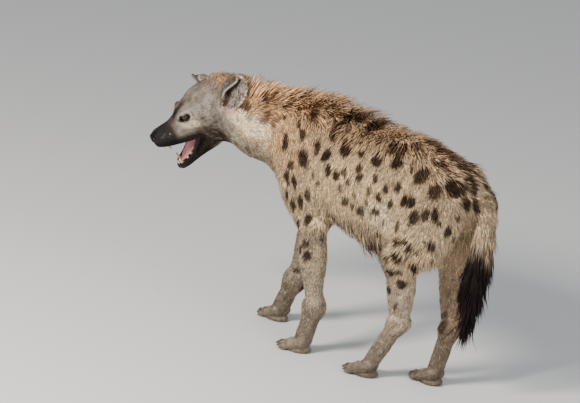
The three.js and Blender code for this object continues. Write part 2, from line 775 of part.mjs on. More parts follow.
function bellyLocks() {
  const random = seeded(23);
  return spaced(-60, 100, 5).flatMap((x) =>
    [-2.7, -2.2, 2.2, 2.7].map((angle) => {
      const longer = x > -40 && x < 80 ? 1.7 : 1;
      const length = BELLY_LENGTH * longer * (0.85 + 0.3 * random());
      const at = trunkPoint(x + 12 * random(), angle + 0.2 * random());
      return lock(at, vec(0.6, 0, -0.8), { length, width: 36, lift: 34, curl: 8 });
    }),
  );
}

function neckLocks() {
  const random = seeded(37);
  return spaced(0.36, 0.74, 6).flatMap((t) =>
    [-1.05, -0.35, 0.35, 1.05].map((turn) => {
      const angle = turn + 0.24 * (random() - 0.5);
      const { centre, axis, sideways, up } = neckAt(t + 0.02 * (random() - 0.5));
      const way = up.clone().multiplyScalar(Math.cos(angle)).addScaledVector(sideways, Math.sin(angle));
      const high = 1 - 0.4 * Math.abs(turn);
      const lie = vec(0, 0, -0.25 * Math.abs(turn)).sub(axis);
      const length = MANE_LENGTH * high * (0.85 + 0.3 * random());
      return lock(skinAt(upperField, centre, way), lie, { length, width: 46, lift: 22 + 27 * high });
    }),
  );
}

function tailLocks() {
  const random = seeded(53);
  const line = new THREE.CatmullRomCurve3(TAIL_LINE.map(([point]) => point));
  const radii = TAIL_LINE.map(([, radius], i) => [i / (TAIL_LINE.length - 1), radius]);
  return spaced(0.38, 0.92, 4).flatMap((t, row) =>
    spaced(0, 4, 5).map((n) => {
      const angle = ((n + 0.5 * (row % 2) + 0.2 * random()) / 5) * Math.PI * 2;
      const tangent = line.getTangentAt(t);
      const away = Y.clone().multiplyScalar(Math.cos(angle));
      away.addScaledVector(tangent.clone().cross(Y), Math.sin(angle)).normalize();
      const point = line.getPointAt(t).addScaledVector(away, along(radii, t)[0] - 1);
      const length = BRUSH_LENGTH * (t > 0.85 ? 0.72 : 1) * (0.85 + 0.25 * random());
      return lock({ point, away }, tangent, { length, width: 46, lift: 20, curl: 20 });
    }),
  );
}

function napeLocks(grow) {
  const random = seeded(71);
  return spaced(-1, 1, 3).map((turn) => {
    const way = HEAD.up.clone().multiplyScalar(Math.cos(turn * 0.5));
    way.addScaledVector(HEAD.left, Math.sin(turn * 0.5));
    const at = skinAt(upperField, HEAD.at(16 - 6 * random(), 0, 0), way);
    return lock(at, HEAD.way(-1, 0, 0), { length: 36 + grow, width: 30, lift: 20, grow });
  });
}

// Materials: the coat is sand-coloured, the face and brush are dark
const paint = (color, roughness = 0.85) => new THREE.MeshStandardMaterial({ color, roughness, metalness: 0 });
const COAT = paint(0xb59a78);
const MANE = paint(0xb08658);
const FACE = paint(0x8a7864);
const LEG = paint(0xab9474);
const BRUSH = paint(0x3a2a22);
const EAR = paint(0x85776a);
const EYE = paint(0x24140c, 0.12);
const TONGUE = paint(0xc9828a, 0.45);

const hyena = new THREE.Group();
function add(name, solid, material) {
  const { vertProperties, numProp, triVerts } = largest(solid).getMesh();
  const positions = new Float32Array((vertProperties.length / numProp) * 3);
  for (let i = 0; i < positions.length / 3; i += 1) {
    positions.set(vertProperties.subarray(i * numProp, i * numProp + 3), i * 3);
  }
  const geometry = new THREE.BufferGeometry();
  geometry.setAttribute("position", new THREE.BufferAttribute(positions, 3));
  geometry.setIndex(new THREE.BufferAttribute(triVerts, 1));
  const mesh = new THREE.Mesh(geometry, material);
  mesh.name = name;
  hyena.add(mesh);
}

const sockets = unite(Object.values(legs).map(({ socket }) => socket));
const headLarger = unite([headLoft(GAP * 1.8), upperLip(GAP * 1.8)]);
const neckLarger = neckLoft(GAP * 1.8);
const headBare = unite([headLoft(0), upperLip(0)]);
const overNeck = unite([...napeLocks(GAP), ear(EARS.left, GAP), ear(EARS.right, GAP)]);
const mouthSpace = unite([palate, ...bothSides.map(nostril)]);

add("torso", unite([trunk, ...backLocks(), ...bellyLocks()]).subtract(sockets), COAT);
const maned = unite([neckLoft(0), ...neckLocks()]).subtract(ahead(0));
add("neck", maned.subtract(trunkLarger).subtract(overNeck), MANE);
const lidded = unite([headBare, ...bothSides.flatMap(lids), ...napeLocks(0)]).subtract(mouthSpace);
const eyeSpace = unite(bothSides.map((l) => ball(EYE_AT(l), EYE_RADIUS + GAP)));
add("head", unite([lidded, ...upperTeeth]).subtract(eyeSpace), FACE);
const jawHollow = unite([unite([jawLoft(0), lowerLip]).subtract(trough), ...lowerTeeth]);
add("jaw", jawHollow.subtract(unite([tongueForm(GAP), headLarger, neckLarger])), FACE);
add("tongue", tongueForm(0).subtract(headLarger), TONGUE);
for (const [l, name] of [[1, "left"], [-1, "right"]]) {
  add(`ear_${name}`, ear(EARS[name]).subtract(headLarger).subtract(neckLarger), EAR);
  add(`eye_${name}`, ball(EYE_AT(l), EYE_RADIUS), EYE);
}
for (const [name, { solid }] of Object.entries(legs)) add(name, solid, LEG);
add("tail", unite([tailCore, ...tailLocks()]).subtract(trunkLarger), BRUSH);

// The origin is at the middle of the underside of the whole animal's box
const box = new THREE.Box3().setFromObject(hyena);
for (const mesh of hyena.children) {
  mesh.geometry.translate(-(box.min.x + box.max.x) / 2, -(box.min.y + box.max.y) / 2, -box.min.z);
}

export default hyena;
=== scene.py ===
# %% [markdown]
# # A life-size spotted hyena
# A hyena is a dog-shaped animal with a deep neck, a sloping back and a coarse spotted coat. The model is made
# the way a taxidermist would make it: a body form of bones and muscles, one skin stretched over the form,
# then eyes, teeth and tongue, and last the hair, rooted in the skin tuft by tuft.

import json
import math

import bmesh
import bpy
import numpy as np
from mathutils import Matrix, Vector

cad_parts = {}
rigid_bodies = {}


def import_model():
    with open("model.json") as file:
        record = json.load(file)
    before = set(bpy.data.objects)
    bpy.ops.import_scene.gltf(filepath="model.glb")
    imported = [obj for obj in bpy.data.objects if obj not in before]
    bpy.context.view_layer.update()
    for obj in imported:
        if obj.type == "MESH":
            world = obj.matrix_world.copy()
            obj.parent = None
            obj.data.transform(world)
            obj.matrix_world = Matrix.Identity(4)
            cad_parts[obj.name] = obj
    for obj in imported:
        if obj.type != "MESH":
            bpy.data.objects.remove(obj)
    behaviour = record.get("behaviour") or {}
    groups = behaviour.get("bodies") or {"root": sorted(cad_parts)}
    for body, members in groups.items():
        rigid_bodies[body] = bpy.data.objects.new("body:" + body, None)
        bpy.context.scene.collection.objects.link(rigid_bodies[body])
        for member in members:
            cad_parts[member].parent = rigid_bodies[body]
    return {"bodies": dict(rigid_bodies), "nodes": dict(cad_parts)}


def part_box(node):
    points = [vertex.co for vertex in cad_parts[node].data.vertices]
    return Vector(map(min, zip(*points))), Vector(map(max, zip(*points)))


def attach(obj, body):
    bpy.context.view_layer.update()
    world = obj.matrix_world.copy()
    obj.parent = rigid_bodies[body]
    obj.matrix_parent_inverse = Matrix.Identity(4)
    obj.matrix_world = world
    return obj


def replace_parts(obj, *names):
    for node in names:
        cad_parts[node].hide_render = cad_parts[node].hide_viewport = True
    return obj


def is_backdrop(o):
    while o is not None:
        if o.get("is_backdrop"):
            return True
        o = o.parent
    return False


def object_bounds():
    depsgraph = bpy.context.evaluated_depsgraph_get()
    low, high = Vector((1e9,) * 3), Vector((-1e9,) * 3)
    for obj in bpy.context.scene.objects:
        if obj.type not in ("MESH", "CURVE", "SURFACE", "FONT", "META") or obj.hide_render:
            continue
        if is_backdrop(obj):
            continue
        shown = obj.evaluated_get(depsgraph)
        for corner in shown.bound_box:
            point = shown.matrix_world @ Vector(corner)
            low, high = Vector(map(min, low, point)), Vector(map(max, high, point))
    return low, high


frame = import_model()
cad_low, cad_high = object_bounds()
BODY = next(iter(frame["bodies"]))
print("parts:", sorted(frame["nodes"]))

# %% [markdown]
# Sizes below are in millimetres, in a frame where the animal stands on z = 0, faces -X and has its left side
# towards -Y. Blender works in metres, so one function at the end moves finished points over. Many points are
# handled at once: an array has one row for each point.

# %% Small sums on arrays of points
X, Y, Z = np.eye(3)


def vec(*xyz):
    return np.array(xyz, float)


def unit(v):
    return v / np.maximum(np.linalg.norm(v, axis=-1, keepdims=True), 1e-9)


def mix(a, b, t):
    return a + (b - a) * t


def smooth(low, high, x):
    """0 below low, 1 above high, and an even ramp between."""
    t = np.clip((x - low) / (high - low), 0, 1)
    return t * t * (3 - 2 * t)


def hexa(code):
    """An sRGB hex colour as linear red, green and blue."""
    srgb = np.array([int(code[i : i + 2], 16) / 255 for i in (1, 3, 5)])
    return np.where(srgb <= 0.04045, srgb / 12.92, ((srgb + 0.055) / 1.055) ** 2.4)


# %% [markdown]
# Hair is never even. A field of soft random values, which changes over a chosen distance, bends
# neighbouring hairs the same way and so makes the clumps of a coat. The same seed gives the same coat.


# %% Soft random values in space
def drift(p, size, seed, channels=1):
    """Smooth random values between -1 and 1 at each point. size is the distance over which they change."""
    random = np.random.default_rng(seed)
    lattice = random.uniform(-1, 1, (32, 32, 32, channels))
    q = p / size + 500
    cell = np.floor(q).astype(int)
    f = q - cell
    f = f * f * (3 - 2 * f)
    total = 0
    for corner in np.ndindex(2, 2, 2):
        weight = np.prod(np.where(np.array(corner) == 1, f, 1 - f), axis=1)
        at = (cell + corner) % 32
        total = total + weight[:, None] * lattice[at[:, 0], at[:, 1], at[:, 2]]
    return total[:, 0] if channels == 1 else total


# %% [markdown]
# ## The body form
# A body can be sculpted by hand, or described. Here it is described as a field: a function that is negative
# inside the flesh and positive outside. Bones and muscles are short forms that melt together, so a joint can
# be moved by changing one point, and hair can ask the same field where the skin is.


# %% Forms of flesh
def bone(a, b, ra, rb, flat=1.0, side=Y):
    """A tapered limb between two points. flat squeezes it along side."""

    def stretch(v):
        return v + (v @ side)[..., None] * side * (1 / flat - 1)

    ab = stretch(b - a)

    def form(p):
        ap = stretch(p - a)
        t = np.clip(ap @ ab / (ab @ ab), 0, 1)
        return np.linalg.norm(ap - t[:, None] * ab, axis=1) - (ra + (rb - ra) * t)

    return form


def muscle(a, b, radius, flat=1.0, side=Y):
    """A spindle of flesh between two points."""
    middle = mix(a, b, 0.5)
    axis = unit(b - a)
    across = unit(side - axis * (side @ axis))
    basis = np.stack([axis, across, np.cross(axis, across)])
    radii = vec(np.linalg.norm(b - a) / 2, radius * flat, radius)

    def form(p):
        q = (p - middle) @ basis.T
        near = np.linalg.norm(q / radii, axis=1)
        steep = np.linalg.norm(q / radii**2, axis=1)
        return near * (near - 1) / np.maximum(steep, 1e-6)

    return form


def blend(width, *forms):
    """Forms melted together, with a fillet of that width."""

    def form(p):
        a = forms[0](p)
        for other in forms[1:]:
            b = other(p)
            share = np.maximum(width - np.abs(a - b), 0) / width
            a = np.minimum(a, b) - share * share * width / 4
        return a

    return form


def carve(width, form, hollow):
    """A form with a hollow cut out of it, with edges rounded by width."""
    inverse = blend(width, lambda p: -form(p), hollow)
    return lambda p: -inverse(p)


def rod(rows, flat=1.0, side=Y):
    """Tapered lengths in a chain, from rows of (point, radius)."""
    pairs = list(zip(rows[:-1], rows[1:]))
    return blend(3, *[bone(a, b, ra, rb, flat, side) for (a, ra), (b, rb) in pairs])


def near(low, high, form):
    """The form inside a box. Far outside it there is nothing to work out, which saves time."""

    def quick(p):
        value = np.full(len(p), 1000.0)
        inside = np.all((p > low) & (p < high), axis=1)
        if inside.any():
            value[inside] = form(p[inside])
        return value

    return quick


# %% Long forms with oval sections
def along(table, s):
    """Rows of a table at stations s, on a smooth curve through them."""
    table = np.asarray(table, float)
    last = len(table) - 1
    x = np.clip(np.atleast_1d(s), table[0, 0], table[last, 0])
    i = np.clip(np.searchsorted(table[:, 0], x) - 1, 0, last - 1)
    before, start, stop, after = [table[np.clip(i + n, 0, last)] for n in (-1, 0, 1, 2)]
    span = stop[:, :1] - start[:, :1]
    t = (x[:, None] - start[:, :1]) / span
    rise = (stop - before) / (stop[:, :1] - before[:, :1]) * span
    fall = (after - start) / (after[:, :1] - start[:, :1]) * span
    step = stop - start
    curve = start + rise * t + (3 * step - 2 * rise - fall) * t**2 + (rise + fall - 2 * step) * t**3
    return curve[:, 1:]


class Frame:
    """A local frame: forward, left and up from an origin."""

    def __init__(self, origin, forward, left, up):
        self.origin = origin
        self.axes = np.stack([forward, left, up])

    def at(self, s, l, t):
        return self.origin + vec(s, l, t) @ self.axes

    def way(self, s, l, t):
        return unit(vec(s, l, t) @ self.axes)

    def local(self, p):
        return (p - self.origin) @ self.axes.T


def barrel(place, table, egg=0.0):
    """A long form from rows of (station, top, bottom, half width). egg widens it below."""
    first, last = table[0][0], table[-1][0]

    def form(p):
        s, l, t = place.local(p).T
        top, bottom, half = along(table, s).T
        tall = np.maximum((top - bottom) / 2, 1)
        height = (t - (top + bottom) / 2) / tall
        wide = np.maximum(half, 1) * (1 - egg * np.clip(height, -1, 1))
        section = (np.hypot(l / wide, height) - 1) * np.minimum(wide, tall)
        past = np.maximum(np.maximum(first - s, s - last), 0)
        return np.where(past > 0, np.hypot(np.maximum(section, 0), past), section)

    return form


# %% [markdown]
# ## Trunk, legs and tail
# The skeleton sets the pose. Each joint is one point, the length of a bone is the distance between two, and
# the muscles hang on them. The chest is deep, the back slopes down to a low rump, and the tail hangs.

# %% Joints and trunk
JOINTS = {
    "foreleg_left": dict(
        blade=vec(-232, -52, 722),
        shoulder=vec(-308, -90, 580),
        elbow=vec(-166, -80, 405),
        wrist=vec(-133, -76, 155),
        knuckle=vec(-156, -84, 46),
        toe=vec(-222, -98, 15),
    ),
    "foreleg_right": dict(
        blade=vec(-250, 52, 722),
        shoulder=vec(-328, 90, 582),
        elbow=vec(-272, 88, 390),
        wrist=vec(-350, 78, 152),
        knuckle=vec(-398, 82, 46),
        toe=vec(-466, 88, 15),
    ),
    "hindleg_left": dict(
        hip=vec(300, -72, 592),
        knee=vec(190, -98, 404),
        hock=vec(182, -56, 190),
        knuckle=vec(112, -78, 46),
        toe=vec(42, -90, 15),
    ),
    "hindleg_right": dict(
        hip=vec(300, 72, 592),
        knee=vec(244, 98, 388),
        hock=vec(312, 34, 190),
        knuckle=vec(274, 36, 46),
        toe=vec(203, 40, 15),
    ),
}
TRUNK = Frame(vec(0, 0, 0), X, Y, Z)
# Rows: station, top, bottom, half width.
TRUNK_TABLE = [
    (-404, 640, 596, 22),
    (-386, 690, 552, 56),
    (-335, 746, 488, 90),
    (-240, 776, 444, 116),
    (-120, 776, 424, 128),
    (-40, 768, 404, 134),
    (50, 764, 394, 134),
    (130, 767, 402, 126),
    (200, 758, 440, 112),
    (270, 736, 478, 103),
    (335, 704, 520, 91),
    (385, 662, 560, 62),
    (408, 628, 592, 25),
]


def shoulder_muscles(j):
    point, elbow = j["shoulder"], j["elbow"]
    return [
        muscle(j["blade"] + vec(0, 0, 30), mix(point, elbow, 0.4), 67, 0.54),
        muscle(mix(j["blade"], point, 0.3) + vec(50, 0, -10), elbow + vec(12, 0, 10), 66, 0.62),
        muscle(point + vec(2, 0, 42), mix(point, elbow, 0.7), 46, 0.85),
    ]


def thigh_muscles(j):
    hip, knee = j["hip"], j["knee"]
    inward = -np.sign(hip[1])
    return [
        muscle(hip + vec(6, inward * 8, 96), knee + vec(0, 0, -34), 98, 0.52),
        muscle(hip + vec(48, inward * 10, 40), mix(hip, knee, 0.75) + vec(50, 0, -20), 66, 0.66),
        muscle(hip + vec(-66, 0, 50), knee + vec(-20, 0, -6), 58, 0.66),
    ]


FORE = ["foreleg_left", "foreleg_right"]
HIND = ["hindleg_left", "hindleg_right"]
trunk_form = near(
    vec(-480, -200, 300),
    vec(500, 200, 900),
    blend(
        46,
        barrel(TRUNK, TRUNK_TABLE, 0.1),
        *[form for name in FORE for form in shoulder_muscles(JOINTS[name])],
        *[form for name in HIND for form in thigh_muscles(JOINTS[name])],
    ),
)


# %% Legs
def paw_form(j):
    """A pad, and four toes with the outer ones set back."""
    ahead = unit((j["toe"] - j["knuckle"]) * vec(1, 1, 0))
    across = np.cross(ahead, Z)

    def level(p, z):
        return vec(p[0], p[1], z)

    toes = []
    for n in (-1.5, -0.5, 0.5, 1.5):
        root = level(j["knuckle"] + across * n * 15, 34)
        tip = level(j["toe"] + across * n * 19 - ahead * (13 if abs(n) > 1 else 0), 11)
        toes.append((root, tip, ahead))
    pad = muscle(level(j["knuckle"] - ahead * 28, 10), level(j["knuckle"] + ahead * 62, 10), 34, 0.6, Z)
    digits = []
    for root, tip, way in toes:
        middle = level(mix(root, tip, 0.62), 23)
        digits.append(rod([(root, 16), (middle, 16), (tip + way * 4, 12.5)]))
    palm = blend(9, pad, *[bone(root, mix(root, tip, 0.6), 17, 12) for root, tip, _ in toes])
    return blend(3.5, palm, *digits), toes


def foreleg_form(j):
    elbow, wrist, knuckle = j["elbow"], j["wrist"], j["knuckle"]
    return blend(
        24,
        bone(mix(j["shoulder"], elbow, 0.4) + vec(8, 0, 0), elbow, 50, 44, 0.85),
        muscle(elbow + vec(-8, 0, 48), mix(elbow, wrist, 0.72), 46, 0.86),
        bone(elbow + vec(18, 0, 8), elbow + vec(30, 0, 14), 26, 20),
        bone(elbow, wrist, 40, 29, 0.92),
        muscle(wrist + vec(2, 0, 40), wrist + vec(-6, 0, -44), 31.5, 0.95),
        bone(wrist + vec(14, 0, -8), wrist + vec(25, 0, -14), 14, 9),
        bone(wrist, knuckle, 29, 30, 1.05),
    )


def hindleg_form(j):
    hip, knee, hock, knuckle = j["hip"], j["knee"], j["hock"], j["knuckle"]
    calf = mix(knee, hock, 0.25) + vec(34, 0, 16)
    heel = hock + vec(24, 0, 10)
    return blend(
        24,
        bone(mix(hip, knee, 0.5) + vec(8, 0, 0), knee, 76, 56, 0.66),
        bone(knee, hock, 50, 27, 0.8),
        muscle(knee + vec(30, 0, 50), mix(knee, hock, 0.8) + vec(14, 0, 0), 42, 0.72),
        bone(calf, heel, 20, 14, 0.9),
        bone(hock, heel, 26, 16),
        bone(hock, knuckle, 29, 27),
    )


def leg_form(name):
    j = JOINTS[name]
    paw, toes = paw_form(j)
    shank = foreleg_form(j) if "blade" in j else hindleg_form(j)
    ends = np.array(list(j.values()))
    low = ends.min(0) - vec(130, 90, 60)
    high = ends.max(0) * vec(1, 1, 0) + vec(130, 90, 560)
    return near(low, high, blend(14, shank, paw)), toes


LEGS = {name: leg_form(name) for name in JOINTS}

# %% Tail
TAIL_LINE = [
    (vec(352, 0, 650), 38),
    (vec(392, 0, 634), 33),
    (vec(416, 0, 596), 27),
    (vec(422, 0, 548), 23),
    (vec(420, 0, 492), 21),
    (vec(415, 0, 422), 19),
    (vec(408, 0, 342), 14),
    (vec(402, 0, 272), 6),
]
tail_form = near(vec(280, -90, 200), vec(500, 90, 720), rod(TAIL_LINE))

# %% [markdown]
# ## Neck and head
# The neck is as deep as the skull is long, and bends to the animal's left. The head has its own frame, so
# that it can be turned, lowered and tilted as one. The lower jaw has a frame of its own and hangs open.

# %% Head and jaw frames
HEAD_AT = vec(-605, -55, 707)
HEAD_TURN = [math.radians(a) for a in (54, 25, 12)]
GAPE = math.radians(24)
EYE_RADIUS = 12.5


def head_frame(yaw, pitch, roll):
    forward = vec(-math.cos(yaw) * math.cos(pitch), -math.sin(yaw) * math.cos(pitch), -math.sin(pitch))
    left = vec(math.sin(yaw), -math.cos(yaw), 0)
    up = unit(np.cross(forward, left))
    up = up * np.sign(up[2])
    tilted_left = left * math.cos(roll) - up * math.sin(roll)
    tilted_up = up * math.cos(roll) + left * math.sin(roll)
    return Frame(HEAD_AT, forward, tilted_left, tilted_up)


HEAD = head_frame(*HEAD_TURN)
JAW = Frame(
    HEAD.at(75, 0, -108),
    HEAD.way(math.cos(GAPE), 0, -math.sin(GAPE)),
    HEAD.axes[1],
    HEAD.way(math.sin(GAPE), 0, math.cos(GAPE)),
)
EYES = {"left": HEAD.at(133, 36, 10.5), "right": HEAD.at(133, -36, 10.5)}
eye_low, eye_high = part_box("eye_left")
SHIFT = EYES["left"] - np.array((eye_low + eye_high) / 2) * 1000
print("the part's origin, in millimetres:", SHIFT.round(2))

# %% Neck, skull and jaw
# Rows: middle of the neck, radius, and how flat it is from side to side.
NECK_AXIS = [
    (vec(-235, 0, 632), 138, 0.78),
    (vec(-345, -4, 642), 122, 0.76),
    (vec(-455, -20, 655), 104, 0.76),
    (vec(-540, -34, 676), 88, 0.84),
    (vec(-602, -54, 694), 78, 0.94),
]
# Rows of the next two: station, top, bottom, half width.
HEAD_TABLE = [
    (-75, 46, -70, 44),
    (-50, 66, -92, 60),
    (-15, 78, -112, 70),
    (25, 76, -126, 75),
    (60, 70, -122, 76),
    (95, 58, -98, 66),
    (120, 46, -78, 53),
    (145, 28, -70, 44),
    (170, 5, -68, 42),
    (195, -10, -63, 41),
    (220, -16, -65, 38),
    (238, -19, -64, 33),
    (248, -25, -58, 22),
    (254, -35, -46, 8),
]
JAW_TABLE = [
    (-70, 40, -30, 30),
    (-40, 46, -40, 46),
    (0, 46, -38, 52),
    (24, 42, -33, 50),
    (40, 34, -29, 47),
    (64, 24, -25, 42),
    (88, 14, -23, 36),
    (112, 7, -21, 30),
    (132, 6, -16, 25),
    (142, 2, -8, 12),
]


def neck_bone(i):
    (a, ra, _), (b, rb, flat) = NECK_AXIS[i], NECK_AXIS[i + 1]
    return bone(a, b, ra, rb, flat, unit(np.cross(b - a, Z)))


def both(make):
    """The same form on the animal's left and right."""
    return [form for side in (1, -1) for form in make(side)]


def skull_muscles(l):
    """Cheek, cheekbone, temple, brow and the flesh of the upper lip."""
    left = HEAD.axes[1]
    return [
        muscle(HEAD.at(-15, l * 40, -92), HEAD.at(98, l * 50, -20), 50, 0.72, left),
        muscle(HEAD.at(4, l * 57, -12), HEAD.at(116, l * 44, -14), 25, 0.8, left),
        muscle(HEAD.at(-20, l * 27, 38), HEAD.at(112, l * 25, 29), 31, 0.9, left),
        muscle(HEAD.at(104, l * 30, 20), HEAD.at(148, l * 26, 10), 12, 0.9, left),
        muscle(HEAD.at(162, l * 24, -48), HEAD.at(242, l * 16, -50), 19, 0.9, left),
        muscle(HEAD.at(98, l * 47, -46), HEAD.at(206, l * 30, -54), 18, 0.7, left),
    ]


HEAD_LOW = HEAD_AT - vec(290, 330, 330)
HEAD_HIGH = HEAD_AT + vec(180, 210, 210)
neck_form = near(vec(-760, -220, 440), vec(-20, 220, 900), blend(40, *[neck_bone(i) for i in range(4)]))
skull_form = blend(22, barrel(HEAD, HEAD_TABLE, 0.12), *both(skull_muscles))
jaw_form = barrel(JAW, JAW_TABLE, -0.05)

# %% [markdown]
# The mouth is a hollow under the palate and a trough in the lower jaw, with a rolled lip along each edge.
# The eyes sit deep: the socket is a short pit behind an upper and a lower lid. The nose pad is a smooth
# leathery bulge with two comma-shaped nostrils.

# %% Mouth: the lips as points in the frames of head and jaw
UPPER_LIP = [(104, 49, -60), (120, 46, -67), (138, 43, -70), (156, 39, -70), (174, 37, -67), (190, 35, -61)]
UPPER_LIP += [(222, 27, -63), (241, 14, -62)]
LOWER_LIP = [(20, 50, 48), (42, 46, 31), (64, 42, 20), (88, 35, 10.5), (112, 28, 4.5), (130, 18, 4)]


def lip(place, rows, radius):
    left = [(place.at(s, l, t), radius) for s, l, t in rows]
    right = [(place.at(s, -l, t), radius) for s, l, t in reversed(rows)]
    return rod(left + right)


def jaw_top(s):
    return along(JAW_TABLE, s)[0][0]


def jaw_trough():
    rows = [(6, 12), (24, 32), (60, 29), (96, 20), (122, 13), (132, 6)]
    return rod([(JAW.at(s, 0, jaw_top(s) + 14), r) for s, r in rows])


PALATE_ROWS = [(84, 9), (108, 20), (150, 21), (200, 15), (230, 8)]
palate_hollow = rod([(HEAD.at(s, 0, -76), r) for s, r in PALATE_ROWS])
trough_hollow = jaw_trough()


def cheek(l):
    """The thin skin that runs from the upper lip down to the lower one at the corner of the mouth."""
    rows = [((100, 46, -70), (26, 45, 40)), ((112, 45, -70), (52, 42, 30)), ((124, 43, -72), (66, 40, 22))]
    return [bone(HEAD.at(s, l * a, t), JAW.at(j, l * b, u), 4, 4) for (s, a, t), (j, b, u) in rows]


upper_jaw = carve(5, skull_form, palate_hollow)
upper_jaw = blend(4, upper_jaw, lip(HEAD, UPPER_LIP, 5.2))
lower_jaw = blend(4, carve(5, jaw_form, trough_hollow), lip(JAW, LOWER_LIP, 4.6))
cheeks = blend(9, *both(cheek))


# %% Eyes, lids and nose
def eye_ways(l):
    """Which way an eye looks, and the directions along and across its opening."""
    gaze = HEAD.way(0.5, l * 0.86, 0.1)
    slant = HEAD.way(0.86, -l * 0.5, -0.22)
    slant = unit(slant - gaze * (slant @ gaze))
    rise = np.cross(gaze, slant)
    return gaze, slant, rise * np.sign(rise @ HEAD.axes[2])


def eye_at(l):
    return EYES["left" if l > 0 else "right"]


def eye_distance(p):
    """How far each point is from the middle of the nearer eye."""
    return np.min([np.linalg.norm(p - centre, axis=1) for centre in EYES.values()], axis=0)


def lid_ball(l):
    """The lids together cover the whole front of the eyeball."""
    gaze, _, _ = eye_ways(l)
    return bone(eye_at(l), eye_at(l) + gaze * 0.5, EYE_RADIUS + 2.2, EYE_RADIUS + 2.2)


def lid_opening(l):
    """The almond between the lids, longer towards the nose."""
    gaze, slant, _ = eye_ways(l)
    front = eye_at(l) + gaze * 13 + slant * 1.5
    return muscle(front - slant * 14, front + slant * 16, 7.2, 2.3, gaze)


def lid_crease(l):
    """A fold above the upper lid and one below the lower lid."""
    gaze, slant, rise = eye_ways(l)
    folds = []
    for lift, reach, radius in ((0.78, 0.85, 1.9), (-0.74, 0.8, 1.5)):
        rows = []
        for a in np.linspace(-1, 1, 7):
            turn, high = a * reach, lift * (1 - 0.35 * a * a)
            way = gaze * math.cos(turn) + slant * math.sin(turn)
            out = unit(way * math.cos(high) + rise * math.sin(high))
            rows.append((eye_at(l) + out * (EYE_RADIUS + 3.4), radius))
        folds.append(rod(rows))
    return folds


def nose(l):
    """A nostril: a round opening in front that narrows to a slit along the side."""
    opening = [(259, 9, -41, 4.6), (250, 14, -37, 5.2), (239, 19, -33, 4.2)]
    slit = [(240, 20, -33, 2.6), (232, 24, -35, 2), (225, 27, -39, 1.4)]
    return blend(2, *[rod([(HEAD.at(s, l * a, t), r) for s, a, t, r in rows]) for rows in (opening, slit)])


nose_pad = blend(
    6,
    muscle(HEAD.at(222, 0, -31), HEAD.at(257, 0, -37), 15, 1.15, HEAD.axes[1]),
    *both(lambda l: [muscle(HEAD.at(232, l * 13, -35), HEAD.at(256, l * 10, -41), 9)]),
)
philtrum = rod([(HEAD.at(258, 0, -45), 1.6), (HEAD.at(252, 0, -60), 2)])


# %% [markdown]
# An ear is a thin cupped plate on a short stalk. Its form is measured from a bent spine: how far a point is
# along the spine, across it, and in front of the cup. A hyena's ears are broad and round.

# %% Ears: rows of EAR_SHAPE are place along the spine, half width and depth of the cup
EAR_THICKNESS = 6
EAR_ROUGH_THICKNESS = 10
EAR_STEPS = 40
EAR_SHAPE = [(0, 14, 9), (0.14, 28, 15), (0.34, 38, 18), (0.58, 42, 18), (0.8, 36, 13)]
EAR_SHAPE += [(0.94, 23, 7), (1, 9, 3)]
EARS = {
    "left": dict(root=(12, 104, 22), knee=(-21, 111, 61), tip=(-68, 80, 98), face=(0.3, 0.8, 0.52)),
    "right": dict(root=(34, -44, 22), knee=(32, -80, 34), tip=(42, -130, 22), face=(0.89, 0, -0.45)),
}


def ear_spine(root, knee, tip, face):
    """Points of the spine, with the directions along it, across it and out of the cup."""
    a, b, c = [HEAD.at(*p) for p in (root, knee, tip)]
    v = np.linspace(0, 1, EAR_STEPS + 1)[:, None]
    points = a * (1 - v) ** 2 + 2 * b * v * (1 - v) + c * v**2
    lie = unit((b - a) * (1 - v) + (c - b) * v)
    opening = HEAD.way(*face)
    opening = unit(opening - (lie @ opening)[:, None] * lie)
    return points, lie, unit(np.cross(lie, opening)), opening


def on_ear(ear, p):
    """Where points are on an ear: along it from 0 to 1, and across it from -1 in front to 1 behind.

    Then come how far in front of its cup they are, its half width there and how far the cup bends away.
    """
    points, lie, across, opening = ear_spine(**ear)
    side = np.sign(ear["root"][1])
    length = np.linalg.norm(np.diff(points, axis=0), axis=1).sum()
    k = np.argmin(((p[:, None] - points) ** 2).sum(2), axis=1)
    away = p - points[k]
    v = k / EAR_STEPS + (away * lie[k]).sum(1) / length
    half, cup = along(EAR_SHAPE, v).T
    a = (away * across[k]).sum(1)
    u = side * a / half
    bend = smooth(-0.85, -0.12, u) * np.cos(np.clip((u + 0.12) / 1.12, 0, 1) * math.pi / 2)
    return v, u, (away * opening[k]).sum(1) + 1.25 * cup * bend, half, bend


def ear_form(ear, thick):
    points = ear_spine(**ear)[0]
    length = np.linalg.norm(np.diff(points, axis=0), axis=1).sum()

    def form(p):
        v, u, front, half, bend = on_ear(ear, p)
        sheet = np.abs(front + 1.1 + 1.8 * bend) * 0.88 - thick / 2 * (0.55 + 0.45 * bend)
        rim = np.maximum((np.abs(u) - 1) * half + thick / 3, np.maximum(-v, v - 1) * length)
        outside = np.hypot(np.maximum(sheet, 0), np.maximum(rim, 0))
        return np.where((sheet > 0) | (rim > 0), outside, np.maximum(sheet, rim))

    return near(points.min(0) - 75, points.max(0) + 75, form)


def ear_rim(ear):
    """A rolled edge round the cup, from its front corner over the tip to its back corner."""
    points, _, across, opening = ear_spine(**ear)
    side = np.sign(ear["root"][1])
    rows = []
    for u in (-1, 1):
        stations = range(4, EAR_STEPS, 4) if u < 0 else range(EAR_STEPS - 4, 0, -4)
        for k in stations:
            half = along(EAR_SHAPE, k / EAR_STEPS)[0, 0]
            rows.append((points[k] + across[k] * side * u * (half - 3) + opening[k] * 0.5, 2.3))
    return rod(rows)


